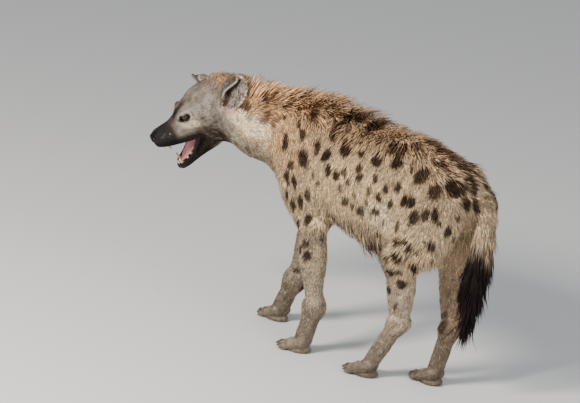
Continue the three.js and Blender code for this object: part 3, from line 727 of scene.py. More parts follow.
def ear_hollow(ear):
    """The space in the cup, where the side of the head is cut away down to the ear's own skin."""
    points, _, _, opening = ear_spine(**ear)
    form = rod([(points[k] - opening[k] * deep, r) for k, deep, r in [(8, 1, 8), (16, 3, 13), (26, 0, 13)]])
    return near(points.min(0) - 75, points.max(0) + 75, form)


# %% [markdown]
# ## One skin
# The skin is pulled over the whole form at once, so that no seam shows at the neck or the legs. It lies
# under the coat: a little inside the form where the hair is long, and almost on it over the muzzle.


# %% The whole form
def head_part(p):
    """How far a point belongs to the head, from 0 on the neck to 1 on the face."""
    s, l, t = HEAD.local(p).T
    return smooth(-70, 30, s) * smooth(250, 190, np.hypot(l, t))


def coat_depth(p):
    """How far the skin lies inside the form: deepest on the body, and almost nothing on the muzzle."""
    s = HEAD.local(p)[:, 0]
    depth = mix(3.5, 9.0, smooth(250, 470, p[:, 2]))
    depth = mix(depth, 3.0, smooth(330, 400, p[:, 0]) * (p[:, 2] < 640))
    face = head_part(p)
    return mix(depth, mix(2.0, 0.4, smooth(110, 170, s)), face)


def whole_form():
    skull = blend(30, neck_form, near(HEAD_LOW, HEAD_HIGH, upper_jaw))
    skull = blend(7, skull, near(HEAD_LOW, HEAD_HIGH, lower_jaw), near(HEAD_LOW, HEAD_HIGH, cheeks))
    head = blend(5, skull, near(HEAD_LOW, HEAD_HIGH, nose_pad))
    trunk = blend(24, trunk_form, *[form for form, _ in LEGS.values()])
    trunk = blend(16, trunk, tail_form)
    return blend(36, trunk, head)


def skin_form(ear_thickness, fine):
    """The surface of the skin. The finer pass adds the lids, nostrils and the groove under the nose."""
    whole = whole_form()
    ears = [ear_form(ear, ear_thickness) for ear in EARS.values()]
    rims = [near(HEAD_LOW, HEAD_HIGH, ear_rim(ear)) for ear in EARS.values()]
    lids = both(lambda l: [near(HEAD_LOW, HEAD_HIGH, lid_ball(l))])
    openings = both(lambda l: [near(HEAD_LOW, HEAD_HIGH, lid_opening(l))])

    def covered(p):
        return whole(p) + coat_depth(p)

    hollows = [ear_hollow(ear) for ear in EARS.values()]
    eared = blend(2, blend(8, carve(5, covered, blend(1, *hollows)), *ears), *rims)
    faced = blend(5, eared, *lids)
    if fine:
        faced = blend(3, faced, *[near(HEAD_LOW, HEAD_HIGH, fold) for fold in both(lid_crease)])
        cuts = both(lambda l: [near(HEAD_LOW, HEAD_HIGH, nose(l))]) + [near(HEAD_LOW, HEAD_HIGH, philtrum)]
        faced = carve(2, faced, blend(1, *cuts))
    faced = carve(1.6, faced, blend(1, *openings))
    return lambda p: np.maximum(faced(p), -p[:, 2] - 0.01)


rough_skin = skin_form(EAR_ROUGH_THICKNESS, False)
fine_skin = skin_form(EAR_THICKNESS, True)

# %% [markdown]
# A lattice of points is asked whether it is inside. Wherever the answer changes between neighbours, the
# surface passes, and each cell it passes through gives one point of the net. A coarse look comes first, so
# that only the cells near the surface are worked out in full.

# %% Pull a net over the form
LATTICE = 5.0


def in_parts(form, p, size=150000):
    return np.concatenate([form(p[i : i + size]) for i in range(0, len(p), size)])


def lattice_values(form, low, counts, cell, block=4):
    """The form's values at the lattice points near its surface. Elsewhere only the sign is right."""
    rough = [-(-n // block) for n in counts]
    index = np.stack(np.meshgrid(*[np.arange(n) for n in rough], indexing="ij"), -1).reshape(-1, 3)
    middle = in_parts(form, low + (index + 0.5) * block * cell)
    wide = middle.reshape(rough)
    for axis in range(3):
        wide = np.repeat(wide, block, axis=axis)
    values = np.sign(wide[: counts[0], : counts[1], : counts[2]]) * 100
    close = np.abs(wide[: counts[0], : counts[1], : counts[2]]) < block * cell * 1.5
    values[close] = in_parts(form, low + np.argwhere(close) * cell)
    return values


def net(values, low, cell):
    """Points and quads of the surface between negative and positive values."""
    inside = values < 0
    shape = [n - 1 for n in values.shape]

    def corner(a, o):
        return a[tuple(slice(o[i], o[i] + shape[i]) for i in range(3))]

    offsets = list(np.ndindex(2, 2, 2))
    count = sum(corner(inside, o).astype(int) for o in offsets)
    mixed = (count > 0) & (count < 8)
    cells = np.argwhere(mixed)
    ids = np.full(shape, -1)
    ids[mixed] = np.arange(len(cells))
    # A cell's point is the mean of the places where the surface cuts the cell's twelve edges.
    total, hits = np.zeros((len(cells), 3)), np.zeros(len(cells))
    for a in offsets:
        for b in offsets:
            if sum(b) != sum(a) + 1 or any(y < x for x, y in zip(a, b)):
                continue
            va, vb = [values[tuple((cells + o).T)] for o in (a, b)]
            crossed = (va < 0) != (vb < 0)
            t = np.where(crossed, va / np.where(crossed, va - vb, 1), 0)
            total += (np.array(a) + t[:, None] * (np.array(b) - a)) * crossed[:, None]
            hits += crossed
    points = low + (cells + total / hits[:, None]) * cell
    # Each lattice edge that the surface cuts gives one quad between the four cells around it.
    quads = []
    for axis in range(3):
        u, v = (axis + 1) % 3, (axis + 2) % 3
        step = np.eye(3, dtype=int)
        ahead = [slice(None)] * 3
        behind = [slice(None)] * 3
        ahead[axis], behind[axis] = slice(1, None), slice(None, -1)
        changed = np.argwhere(inside[tuple(behind)] != inside[tuple(ahead)])
        changed = changed[(changed[:, u] > 0) & (changed[:, v] > 0)]
        changed = changed[(changed[:, u] < shape[u]) & (changed[:, v] < shape[v])]
        around = [changed - step[u] - step[v], changed - step[v], changed, changed - step[u]]
        four = np.stack([ids[tuple(c.T)] for c in around], 1)
        leaving = inside[tuple(changed.T)]
        quads.append(np.where(leaving[:, None], four, four[:, ::-1]))
    return points, np.concatenate(quads)


def settle(form, p, rounds=2, most=3.0):
    """Points moved onto the form's surface."""
    for _ in range(rounds):
        here = in_parts(form, p)
        slope = np.stack([in_parts(form, p + axis * 0.5) - here for axis in (X, Y, Z)], 1) * 2
        steep = np.maximum((slope**2).sum(1), 0.04)
        p = p - np.clip(slope * (here / steep)[:, None], -most, most)
    return p


LOW = vec(-830, -350, -7.5)
COUNTS = [264, 106, 178]
values = lattice_values(rough_skin, LOW, COUNTS, LATTICE)
points, quads = net(values, LOW, LATTICE)
print("skin net:", len(points), "points,", len(quads), "quads")


# %% [markdown]
# The face needs a finer net than the flank. Blender can split only the faces of the head in four, and join
# them to their larger neighbours. The points are then settled again on the form, which brings out detail.


# %% Make the net an object, finer over the head
def to_frame(p):
    return (p - SHIFT) / 1000


def from_frame(p):
    return p * 1000 + SHIFT


def positions(mesh):
    flat = np.empty(len(mesh.vertices) * 3, np.float32)
    mesh.vertices.foreach_get("co", flat)
    return flat.reshape(-1, 3).astype(float)


def make_object(name, points, faces):
    """A mesh object from points in metres and faces that all have the same number of corners."""
    mesh = bpy.data.meshes.new(name)
    faces = np.asarray(faces, np.int32)
    mesh.vertices.add(len(points))
    mesh.vertices.foreach_set("co", np.asarray(points, np.float32).ravel())
    mesh.loops.add(faces.size)
    mesh.loops.foreach_set("vertex_index", faces.ravel())
    mesh.polygons.add(len(faces))
    mesh.polygons.foreach_set("loop_start", np.arange(0, faces.size, faces.shape[1], dtype=np.int32))
    mesh.update(calc_edges=True)
    mesh.validate()
    mesh.polygons.foreach_set("use_smooth", np.ones(len(mesh.polygons), bool))
    obj = bpy.data.objects.new(name, mesh)
    bpy.context.scene.collection.objects.link(obj)
    return obj


def split_faces(mesh, chosen):
    """Splits in four the faces whose points are all chosen."""
    bm = bmesh.new()
    bm.from_mesh(mesh)
    edges = [e for e in bm.edges if chosen[e.verts[0].index] and chosen[e.verts[1].index]]
    bmesh.ops.subdivide_edges(bm, edges=edges, cuts=1, use_grid_fill=True)
    bm.to_mesh(mesh)
    bm.free()


def face_detail(p):
    """True where the face has small forms: round the eyes and on the nose."""
    return (eye_distance(p) < 27) | (HEAD.local(p)[:, 0] > 226)


def ear_gap(p):
    """How far each point is from the nearer ear."""
    return np.min([ear_form(ear, EAR_THICKNESS)(p) for ear in EARS.values()], axis=0)


def head_and_ears(p):
    """True on the head, and on the ears behind it."""
    return (ear_gap(p) < 14) | ((HEAD.local(p)[:, 0] > -30) & (np.linalg.norm(p - HEAD_AT, axis=1) < 330))


skin = make_object("skin", to_frame(points), quads)
for chosen in (head_and_ears, face_detail):
    here = from_frame(positions(skin.data))
    split_faces(skin.data, chosen(here))
settled = settle(fine_skin, from_frame(positions(skin.data)), 3)
skin.data.vertices.foreach_set("co", to_frame(settled).astype(np.float32).ravel())
skin.data.update()
print("skin:", len(skin.data.vertices), "points,", len(skin.data.polygons), "faces")

# %% [markdown]
# ## Markings
# The pelt is sandy, with a rufous neck, cream patches and a grey-brown face, and its spots fade downwards.
# The colours could be painted on an image. Here each is a wash: a colour laid over part of the body with a
# soft edge, so that the skin and every tuft of hair ask the same function and always agree.

# %% Colours of the pelt
SAND = hexa("#c0a27e")
BUFF = hexa("#c9ae8c")
CREAM = hexa("#f2dfbd")
WARM_CREAM = hexa("#e8c99f")
RUFOUS = hexa("#d4a476")
TAWNY = hexa("#9c7a5a")
BROWN = hexa("#6b4b33")
UMBER = hexa("#26170f")
GREY_BROWN = hexa("#84766a")
ASH = hexa("#a3968a")
PALE_GREY = hexa("#c2b7a9")
DUN = hexa("#8c7d6d")
SOOT = hexa("#0b0909")
PINK = hexa("#d98089")
SHADED_PALATE = hexa("#5a3337")
BRUSH = hexa("#1a1111")


def soft_ball(p, centre, radii, edge=0.35):
    """1 inside an ellipsoid, 0 outside, with a soft edge."""
    return smooth(1 + edge, 1 - edge, np.linalg.norm((p - centre) / vec(*radii), axis=1))


def wash(colour, over, amount):
    return mix(colour, over, np.clip(amount, 0, 1)[:, None])


def body_colour(p):
    """Sandy, browner along the back, cream on the flank, dun under the belly as painted shade with dark hair
    low on it, and duller on the legs.
    """
    x, y, z = p.T
    soft = drift(p, 60, 1)
    side = np.stack([x, np.abs(y), z], 1)
    colour = wash(np.tile(SAND, (len(p), 1)), BUFF, smooth(680, 560, z + 20 * soft))
    # Flank and shoulder, then the back with its darker patches.
    colour = wash(colour, WARM_CREAM, 0.65 * soft_ball(side, vec(-10, 130, 585), (180, 90, 80)))
    colour = wash(colour, CREAM, 0.7 * soft_ball(side, vec(125, 130, 530), (55, 90, 45)))
    colour = wash(colour, RUFOUS, 0.4 * soft_ball(side, vec(-280, 110, 640), (90, 70, 90)))
    colour = wash(colour, TAWNY, 0.6 * smooth(670, 750, z + 16 * soft) * smooth(-360, -200, x))
    colour = wash(colour, RUFOUS, 0.6 * smooth(700, 775, z + 14 * soft) * smooth(-60, -280, x))
    colour = wash(colour, BROWN, 0.35 * smooth(0.3, 0.8, drift(p, 38, 2)) * smooth(700, 750, z))
    # Belly, and the rump. The two dun washes paint the shade on the lower flank and under the belly; the dark
    # brown low on the belly is its dark hair.
    belly = smooth(330, 380, z) * smooth(-120, -60, x) * smooth(190, 150, x)
    colour = wash(colour, DUN, 0.6 * belly * smooth(520, 470, z))
    under = smooth(430, 395, z) * smooth(330, 380, z) * smooth(-220, -150, x) * smooth(250, 150, x)
    colour = wash(colour, DUN, 0.85 * under)
    colour = wash(colour, hexa("#4b3b2d"), 0.8 * belly * smooth(-60, 20, x) * smooth(464, 430, z + 8 * soft))
    colour = wash(colour, hexa("#907863"), 0.5 * smooth(230, 330, x) * smooth(520, 600, z))
    # Legs: pale in front, brown on the inside of the thighs and grey towards the paws.
    legs = smooth(430, 250, z)
    colour = wash(colour, hexa("#b3a18c"), 0.85 * legs)
    colour = wash(colour, ASH, 0.35 * legs * smooth(0.1, 0.7, drift(p, 45, 3)))
    inner = smooth(60, 25, np.abs(y)) * smooth(520, 440, z) * smooth(180, 330, x)
    colour = wash(colour, BROWN, 0.7 * inner)
    colour = wash(colour, hexa("#7d7063"), 0.75 * smooth(240, 110, z))
    return wash(colour, hexa("#5f554b"), 0.5 * smooth(70, 25, z) * smooth(0, 100, x))


def neck_colour(p, colour):
    """A tan mane above, a cream patch behind the cheek and a grey throat."""
    x, _, z = p.T
    on_neck = smooth(-250, -370, x)
    mane = smooth(645, 685, z + 0.12 * (x + 500))
    colour = wash(colour, hexa("#857868"), 0.9 * on_neck * smooth(645, 590, z + 0.1 * (x + 450)))
    colour = wash(colour, RUFOUS, on_neck * mane * (0.85 + 0.15 * drift(p, 40, 4)))
    patches = smooth(0.1, 0.6, drift(p, 34, 5)) * on_neck * smooth(690, 710, z)
    colour = wash(colour, BROWN, 0.5 * patches)
    for y_patch in (-112, 66):
        colour = wash(colour, CREAM, 0.9 * soft_ball(p, vec(-450, y_patch, 664), (82, 66, 30), 0.4))
    return colour


def ear_colour(p, colour):
    """Grey fur behind, a pale rim, and inside, along the front edge, painted shadow where the cup is deep."""
    for ear in EARS.values():
        spine, _, over, _ = ear_spine(**ear)
        corner = spine[15] - over[15] * np.sign(ear["root"][1]) * 36
        colour = wash(colour, hexa("#857b72"), 0.9 * soft_ball(p, corner, (36, 36, 36)))
        gap = ear_form(ear, EAR_THICKNESS)(p)
        close = np.flatnonzero(gap < 9)
        if not len(close):
            continue
        v, u, front, _, _ = on_ear(ear, p[close])
        tone = np.tile(GREY_BROWN, (len(close), 1))
        tone = wash(tone, PALE_GREY, smooth(-0.1, 0.7, drift(p[close], 7, 15)))
        inside = smooth(-4.5, -1.5, front) * smooth(-0.75, -0.6, u)
        tone = wash(tone, hexa("#74675e"), 0.85 * inside)
        tone = wash(tone, PALE_GREY, 0.6 * inside * smooth(0.0, 0.4, drift(p[close], 4, 18)))
        tone = wash(tone, hexa("#1c1512"), 0.85 * inside * smooth(0.2, 0.4, drift(p[close], 4, 16)))
        # lean is where the fold of the front edge runs across the cup. The dark strip behind it is painted
        # shadow.
        lean = -0.62 + 0.5 * smooth(0.35, 0.95, v)
        concha_shadow = smooth(lean + 0.42, lean + 0.3, u) * smooth(lean - 0.02, lean + 0.06, u)
        tone = wash(tone, hexa("#4b372c"), 0.85 * inside * smooth(0.5, 0.35, v) * smooth(0.2, -0.2, u))
        concha_shadow = concha_shadow * smooth(0.96, 0.88, v) * smooth(0.3, 0.4, v)
        tone = wash(tone, hexa("#0c0908"), 0.97 * inside * concha_shadow)
        front_fold = smooth(lean - 0.12, lean - 0.2, u) * smooth(-6, -3, front)
        tone = wash(tone, hexa("#5f554d"), 0.85 * front_fold * smooth(0.98, 0.9, v))
        # Pale hair along the back edge, the tip and the fold.
        edge = smooth(lean - 0.15, lean - 0.09, u) * smooth(lean + 0.01, lean - 0.03, u)
        edge = edge * smooth(0.2, 0.35, v) * smooth(-6, -3, front)
        rim = np.max([smooth(0.84, 0.92, u), smooth(0.93, 0.97, v), edge], axis=0)
        tone = wash(tone, hexa("#d9d0c4"), 0.9 * rim)
        colour[close] = wash(colour[close], tone, smooth(9, 5, gap[close]) * smooth(-0.1, 0.1, v))
    return colour


def ear_inside(p):
    """1 in the cups of the ears, where the hair is thin."""
    cover = np.zeros(len(p))
    for ear in EARS.values():
        close = np.flatnonzero(ear_form(ear, EAR_THICKNESS)(p) < 8)
        v, u, front, _, _ = on_ear(ear, p[close])
        within = smooth(-0.75, -0.5, u) * smooth(0.9, 0.8, u) * smooth(0.95, 0.85, v)
        cover[close] = smooth(-4, -1, front) * within
    return cover


def face_share(p):
    """How far the colours of the face reach: a sharper line than that of its form, just behind the cheek."""
    return smooth(-12, 24, HEAD.local(p)[:, 0]) * head_part(p)


def head_colour(p, colour):
    """Grey-brown above, dark at muzzle, chin and cheek, pale under the eye and streaked before the ear."""
    s, l, t = HEAD.local(p).T
    side = np.abs(l)
    q = np.stack([s, side, t], 1)
    tone = wash(np.tile(GREY_BROWN, (len(p), 1)), ASH, smooth(-0.4, 0.5, drift(p, 22, 6)))
    # Temple, crown and brow.
    temple = soft_ball(q, vec(42, 68, 30), (40, 30, 44))
    tone = wash(tone, PALE_GREY, 0.55 * smooth(-0.1, 0.6, drift(p, 8, 14)) * temple)
    tone = wash(tone, hexa("#8d6a4b"), 0.75 * smooth(26, 8, side) * smooth(60, 20, s) * smooth(20, 50, t))
    tone = wash(tone, hexa("#6f5f52"), 0.45 * soft_ball(q, vec(112, 24, 40), (26, 16, 20)))
    # Dark streaks in front of the ear.
    streaks = smooth(-0.2, 0.5, drift(p, 9, 19)) * soft_ball(q, vec(40, 74, -34), (34, 30, 46))
    tone = wash(tone, hexa("#776c61"), 0.8 * soft_ball(q, vec(42, 74, -30), (30, 30, 44)))
    tone = wash(tone, hexa("#4d443c"), 0.75 * streaks)
    # A pale bar under the eye, with dark flecks.
    tone = wash(tone, hexa("#d2c0a4"), 0.95 * soft_ball(q, vec(126, 52, -14), (34, 24, 12), 0.3))
    below_eye = soft_ball(q, vec(116, 52, -14), (40, 30, 24))
    tone = wash(tone, UMBER, 0.5 * smooth(0.4, 0.7, drift(p, 5, 17)) * below_eye)
    # The dark cheek, mottled, and the flecks above it.
    mottle = 1 - 0.45 * smooth(0.1, 0.5, drift(p, 6, 20))
    cheek_dark = mottle * soft_ball(q, vec(76, 66, -76), (66, 44, 48), 0.3)
    tone = wash(tone, hexa("#3a2c22"), 0.95 * cheek_dark)
    tone = wash(tone, hexa("#5d4a39"), 0.7 * soft_ball(q, vec(96, 60, -38), (26, 26, 16)))
    flecks = smooth(0.22, 0.42, drift(p, 5, 7)) * soft_ball(q, vec(74, 70, -10), (34, 30, 34))
    tone = wash(tone, UMBER, 0.9 * flecks)
    # Jaw, lip and muzzle, darker towards the nose.
    below = JAW.local(p)
    jaw_side = smooth(-10, 30, below[:, 0]) * smooth(12, 4, jaw_form(p)) * smooth(-40, -70, t)
    tone = wash(tone, hexa("#33271f"), 0.9 * jaw_side)
    tone = wash(tone, SOOT, 0.9 * jaw_side * smooth(60, 100, below[:, 0]))
    lip_side = smooth(-34, -52, t) * smooth(84, 120, s)
    tone = wash(tone, hexa("#2c231e"), 0.9 * lip_side)
    muzzle = smooth(146, 176, s + 0.30 * np.minimum(t - 5, 12) + 0.35 * np.minimum(-t - 36, 24))
    tone = wash(tone, SOOT, 0.97 * muzzle)
    # The right brow, darker with dark fur and with painted shade where it turns away, the bridge of the nose
    # and the rims of the lids.
    far_brow_fur_and_shade = soft_ball(np.stack([s, l, t], 1), vec(128, -38, 22), (26, 20, 16))
    tone = wash(tone, hexa("#4c4038"), 0.8 * far_brow_fur_and_shade)
    tone = wash(tone, hexa("#3d342d"), 0.75 * smooth(32, 16, side) * smooth(134, 156, s) * smooth(-18, 2, t))
    bridge = smooth(17, 8, side) * smooth(104, 136, s) * smooth(-10, 10, t)
    tone = wash(tone, SOOT, 0.85 * bridge)
    for l_eye, centre in zip((1, -1), EYES.values()):
        gaze, slant, rise = eye_ways(l_eye)
        lid = np.stack([((p - centre) @ slant - 1.5) / 19.5, (p - centre) @ rise / 12.5], 1)
        around = smooth(1.15, 0.9, np.linalg.norm(lid, axis=1))
        around = around * smooth(30, 24, np.linalg.norm(p - centre, axis=1))
        tone = wash(tone, SOOT, around)
        tone = wash(tone, SOOT, 0.85 * soft_ball(p, centre + slant * 21 - rise * 6 + gaze * 4, (11, 11, 6)))
    return mix(colour, tone, face_share(p)[:, None])


# %% [markdown]
# Spots on the left side are placed where the photograph shows them. A line from the camera through a spot's
# place in the picture meets the skin at one point, and the spot is laid there, drawn out along the hair.
# The right side isn't seen, so it has the same kind of spots with other places and sizes.

# %% Camera, which also places the spots
AZIMUTH, ELEVATION, ROLL = [math.radians(a) for a in (39.8, 16.38, 5.47)]
DISTANCE = 9000
NEAREST = DISTANCE - 900
TARGET = vec(-398.27, 77.21, 400)
SENSOR = 36
LENS = 176.1
WIDE, HIGH = 580, 403


def camera_axes():
    """The camera's right, up and forward directions."""
    right = vec(math.cos(AZIMUTH), math.sin(AZIMUTH), 0)
    level = vec(-math.sin(AZIMUTH), math.cos(AZIMUTH), 0)
    forward = level * math.cos(ELEVATION) - Z * math.sin(ELEVATION)
    up = level * math.sin(ELEVATION) + Z * math.cos(ELEVATION)
    across = right * math.cos(ROLL) + up * math.sin(ROLL)
    return across, up * math.cos(ROLL) - right * math.sin(ROLL), forward


across, upward, forward = camera_axes()
CAMERA_AT = TARGET - forward * DISTANCE


def seen_at(form, px, py):
    """Where lines of sight through picture points first meet the form."""
    scale = SENSOR / WIDE / LENS
    ways = forward + np.outer((px - WIDE / 2) * scale, across) - np.outer((py - HIGH / 2) * scale, upward)
    ways = unit(ways)
    p = CAMERA_AT + ways * NEAREST
    for _ in range(60):
        p = p + ways * np.clip(in_parts(form, p) * 0.8, -5, 60)[:, None]
    return p


# %% Lie of the hair
def lie_guides():
    """Segments of the body with the way that the hair lies on them."""
    guides = [
        (vec(-270, 0, 620), vec(290, 0, 620), vec(-0.6, 0, -0.8)),
        (vec(390, 0, 680), vec(430, 0, 540), vec(0.7, 0, -0.9)),
        (vec(-200, 0, 450), vec(150, 0, 440), vec(1, 0, -0.3)),
        (HEAD.at(250, 0, -20), HEAD.at(-20, 0, 40), HEAD.way(-1, 0, 0.1)),
        (HEAD.at(120, 50, -60), HEAD.at(0, 60, -60), HEAD.way(-1, 0.1, -0.45)),
        (HEAD.at(120, -50, -60), HEAD.at(0, -60, -60), HEAD.way(-1, -0.1, -0.45)),
        (JAW.at(130, 0, -20), JAW.at(0, 0, -30), JAW.way(-1, 0, -0.1)),
    ]
    for (a, _, _), (b, _, _) in zip(NECK_AXIS[:-1], NECK_AXIS[1:]):
        guides.append((a, b, unit(a - b) + vec(0, 0, -0.2)))
    for (a, _), (b, _) in zip(TAIL_LINE[:-1], TAIL_LINE[1:]):
        guides.append((a, b, b - a))
    for j in JOINTS.values():
        stops = list(j.values())
        if "blade" in j:
            stops = stops[1:]
        for a, b in zip(stops[:-1], stops[1:]):
            ahead = vec(-0.5, 0, 0) if a[2] > 300 else vec(0, 0, 0)
            guides.append((a, b, unit(b - a) + ahead))
    for ear in EARS.values():
        spine, lie, _, _ = ear_spine(**ear)
        guides.append((spine[8], spine[-1], lie[20] * 3))
    return guides


LIE_GUIDES = lie_guides()
GUIDE_REACH = 30


def hair_lie(p, away):
    """The way that hair lies at each point of the skin."""
    total = 0
    for a, b, way in LIE_GUIDES:
        ab = b - a
        t = np.clip((p - a) @ ab / (ab @ ab), 0, 1)
        gap = ((p - a - t[:, None] * ab) ** 2).sum(1)
        total = total + (1 / (gap + GUIDE_REACH**2) ** 2)[:, None] * way
    flow = unit(total)
    return unit(flow - (flow * away).sum(1)[:, None] * away)


def slope_of(form, p):
    here = in_parts(form, p)
    return unit(np.stack([in_parts(form, p + axis) - here for axis in (X, Y, Z)], 1))


# %% Spots of the left side
# Rows: place across and down the picture in pixels, length and width in millimetres, strength.
LEFT_SPOTS = [
    (348, 118, 62, 22, 0.9), (338, 129, 56, 20, 0.9), (370, 132, 40, 16, 0.8), (381, 139, 34, 16, 0.8),
    (376, 123, 40, 22, 0.9), (393, 127, 46, 24, 1.0), (422, 136, 66, 22, 0.9), (438, 149, 44, 22, 0.9),
    (464, 157, 40, 24, 0.8), (458, 166, 34, 20, 0.7), (318, 144, 52, 20, 0.9), (327, 152, 42, 26, 1.0),
    (347, 146, 48, 30, 1.0), (364, 149, 30, 20, 0.9), (378, 158, 40, 28, 1.0), (397, 160, 42, 28, 1.0),
    (329, 167, 32, 24, 1.0), (337, 173, 32, 22, 1.0), (360, 165, 28, 18, 0.9), (349, 178, 24, 18, 0.6),
    (360, 175, 26, 20, 0.8), (376, 175, 26, 18, 0.9), (341, 185, 24, 16, 0.5), (369, 188, 22, 16, 0.5),
    (354, 192, 20, 14, 0.4), (386, 187, 26, 16, 0.8), (379, 194, 32, 18, 0.9), (398, 185, 32, 20, 0.9),
    (344, 199, 30, 22, 0.7), (352, 203, 22, 16, 0.5), (368, 200, 20, 12, 0.6), (360, 208, 36, 20, 0.6),
    (375, 210, 26, 20, 0.8), (391, 201, 26, 18, 0.9), (404, 198, 38, 18, 1.0), (410, 200, 32, 26, 1.0),
    (398, 223, 40, 12, 0.8), (421, 173, 52, 40, 0.9), (437, 163, 30, 18, 0.7), (443, 167, 30, 16, 0.7),
    (451, 186, 60, 32, 1.0), (434, 189, 46, 32, 0.8), (464, 176, 36, 22, 0.9), (471, 188, 34, 18, 0.9),
    (464, 201, 42, 22, 0.9), (474, 203, 38, 14, 0.9), (414, 216, 42, 30, 0.9), (425, 212, 40, 24, 0.8),
    (435, 213, 42, 20, 0.9), (448, 228, 34, 18, 0.9), (456, 216, 18, 12, 0.7), (440, 221, 16, 12, 0.6),
    (400, 239, 26, 20, 0.9), (407, 240, 26, 20, 0.8), (411, 246, 26, 20, 0.9), (431, 242, 30, 22, 0.8),
    (398, 255, 34, 26, 1.0), (414, 263, 34, 22, 1.0), (391, 270, 28, 22, 1.0), (400, 271, 20, 16, 0.5),
    (402, 284, 32, 24, 0.9), (389, 290, 28, 18, 0.9), (419, 251, 16, 12, 0.6), (409, 254, 14, 12, 0.6),
    (432, 256, 22, 14, 0.7), (454, 235, 20, 14, 0.6), (287, 175, 54, 16, 0.9), (294, 180, 42, 16, 0.9),
    (286, 191, 42, 16, 0.9), (299, 199, 42, 18, 0.9), (307, 193, 44, 18, 0.7), (292, 202, 36, 16, 0.9),
    (308, 217, 34, 26, 1.0), (298, 222, 34, 18, 0.9), (307, 256, 38, 24, 0.8), (301, 249, 34, 16, 0.8),
    (306, 243, 26, 20, 0.6), (302, 133, 44, 20, 0.8), (285, 140, 50, 20, 0.9), (284, 142, 10, 30, 0.9),
    (315, 115, 38, 24, 0.6), (291, 107, 26, 22, 0.2), (269, 101, 30, 26, 0.3), (267, 120, 26, 36, 0.3),
    (249, 103, 26, 28, 0.6), (277, 123, 20, 36, 0.3), (286, 121, 14, 16, 0.8), (394, 146, 38, 26, 0.8),
    (402, 149, 36, 26, 0.8),
    (358, 118, 50, 24, 0.9), (343, 124, 50, 20, 0.8), (384, 125, 46, 20, 0.9), (416, 146, 34, 24, 0.5),
    (390, 240, 18, 12, 0.6), (388, 256, 22, 14, 0.7), (335, 217, 42, 16, 0.8), (411, 163, 46, 8, 0.8),
    (344, 170, 26, 16, 0.6), (300, 124, 34, 16, 0.7), (447, 156, 40, 20, 0.8), (478, 178, 40, 14, 0.7),
    (408, 128, 60, 26, 0.8), (430, 143, 50, 18, 0.8), (306, 102, 34, 22, 0.5), (330, 112, 40, 18, 0.6),
    (254, 112, 16, 28, 0.1), (303, 155, 48, 30, 0.9), (291, 162, 34, 18, 0.7), (312, 171, 24, 8, 0.7),
    (319, 180, 20, 14, 0.5), (330, 212, 24, 18, 0.6), (302, 288, 26, 18, 0.5), (396, 306, 22, 12, 0.5),
    (444, 316, 30, 20, 0.5), (297, 270, 24, 14, 0.5), (322, 237, 20, 12, 0.4), (383, 220, 22, 14, 0.5),
]


SPOT_DEPTH = 6  # how far the skin lies inside the form there


def lay_spots():
    """The centre, lie, length, width and strength of every spot."""
    marks = np.array(LEFT_SPOTS, float)

    def form(p):
        return trunk_and_legs(p) + SPOT_DEPTH

    left = seen_at(form, marks[:, 0], marks[:, 1])
    random = np.random.default_rng(8)
    right = left * vec(1, -1, 1) + random.normal(0, 16, left.shape) * vec(1, 0, 1)
    right_sizes = marks[random.permutation(len(marks)), 2:4]
    centres = np.concatenate([left, right])
    centres = settle(form, centres, 4, 30)
    lie = hair_lie(centres, slope_of(form, centres))
    sizes = np.concatenate([marks[:, 2:4], right_sizes]) * vec(1.1, 1.36)
    strength = np.tile(marks[:, 4], 2) ** 0.25
    in_mane = smooth(-180, -300, centres[:, 0]) * smooth(660, 710, centres[:, 2])
    return centres - lie * (7 + 22 * in_mane)[:, None], lie, sizes, strength


trunk_and_legs = blend(30, trunk_form, neck_form, *[form for form, _ in LEGS.values()])
SPOTS = lay_spots()
print("spots:", len(SPOTS[0]))


def spot_cover(p):
    """How dark the spots make each point, from 0 to 1."""
    ragged = drift(p, 9, 12, 3) * 2.8
    q = p + ragged
    cover = np.zeros(len(p))
    for centre, lie, (length, width), strength in zip(*SPOTS):
        close = np.flatnonzero(np.abs(q - centre).max(1) < length)
        if len(close):
            away = q[close] - centre
            ahead = away @ lie
            aside = np.sqrt(np.maximum((away**2).sum(1) - ahead**2, 0))
            inside = smooth(1.25, 0.8, np.hypot(ahead / (length / 2), aside / (width / 2)))
            cover[close] = np.maximum(cover[close], inside * strength)
    return cover


# %% [markdown]
# Inside the mouth and on the nose the skin is bare and wet. The same washes say where, because a wet place
# has no hair, a lower roughness and its own colour.


# %% Bare places
ROOF = near(HEAD_LOW, HEAD_HIGH, palate_hollow)
TROUGH = near(HEAD_LOW, HEAD_HIGH, trough_hollow)


def mouth_cover(p):
    """1 on the moist skin in the mouth."""
    return smooth(5, 2.5, np.minimum(ROOF(p), TROUGH(p)))


LIPS = near(HEAD_LOW, HEAD_HIGH, blend(1, lip(HEAD, UPPER_LIP, 5), lip(JAW, LOWER_LIP, 5)))


def nose_cover(p):
    return smooth(6, 2, near(HEAD_LOW, HEAD_HIGH, nose_pad)(p))


def bare_cover(p, away):
    """1 where no hair grows."""
    lips = smooth(3, 1.5, LIPS(p))
    eyes = smooth(17.5, 16.5, eye_distance(p))
    soles = smooth(-0.5, -0.8, away[:, 2]) * smooth(22, 14, p[:, 2])
    return np.max([mouth_cover(p), nose_cover(p), lips, eyes, soles], axis=0)


def pelt(p):
    """The coat's colour at each point, linear."""
    colour = body_colour(p)
    colour = neck_colour(p, colour)
    colour = head_colour(p, colour)
    colour = wash(colour, UMBER, 0.97 * spot_cover(p) * (1 - face_share(p)))
    tail = tail_form(p)
    brush = smooth(14, 4, tail) * smooth(585, 500, p[:, 2] + 12 * drift(p, 30, 9))
    colour = wash(colour, BRUSH, brush)
    return ear_colour(p, colour)


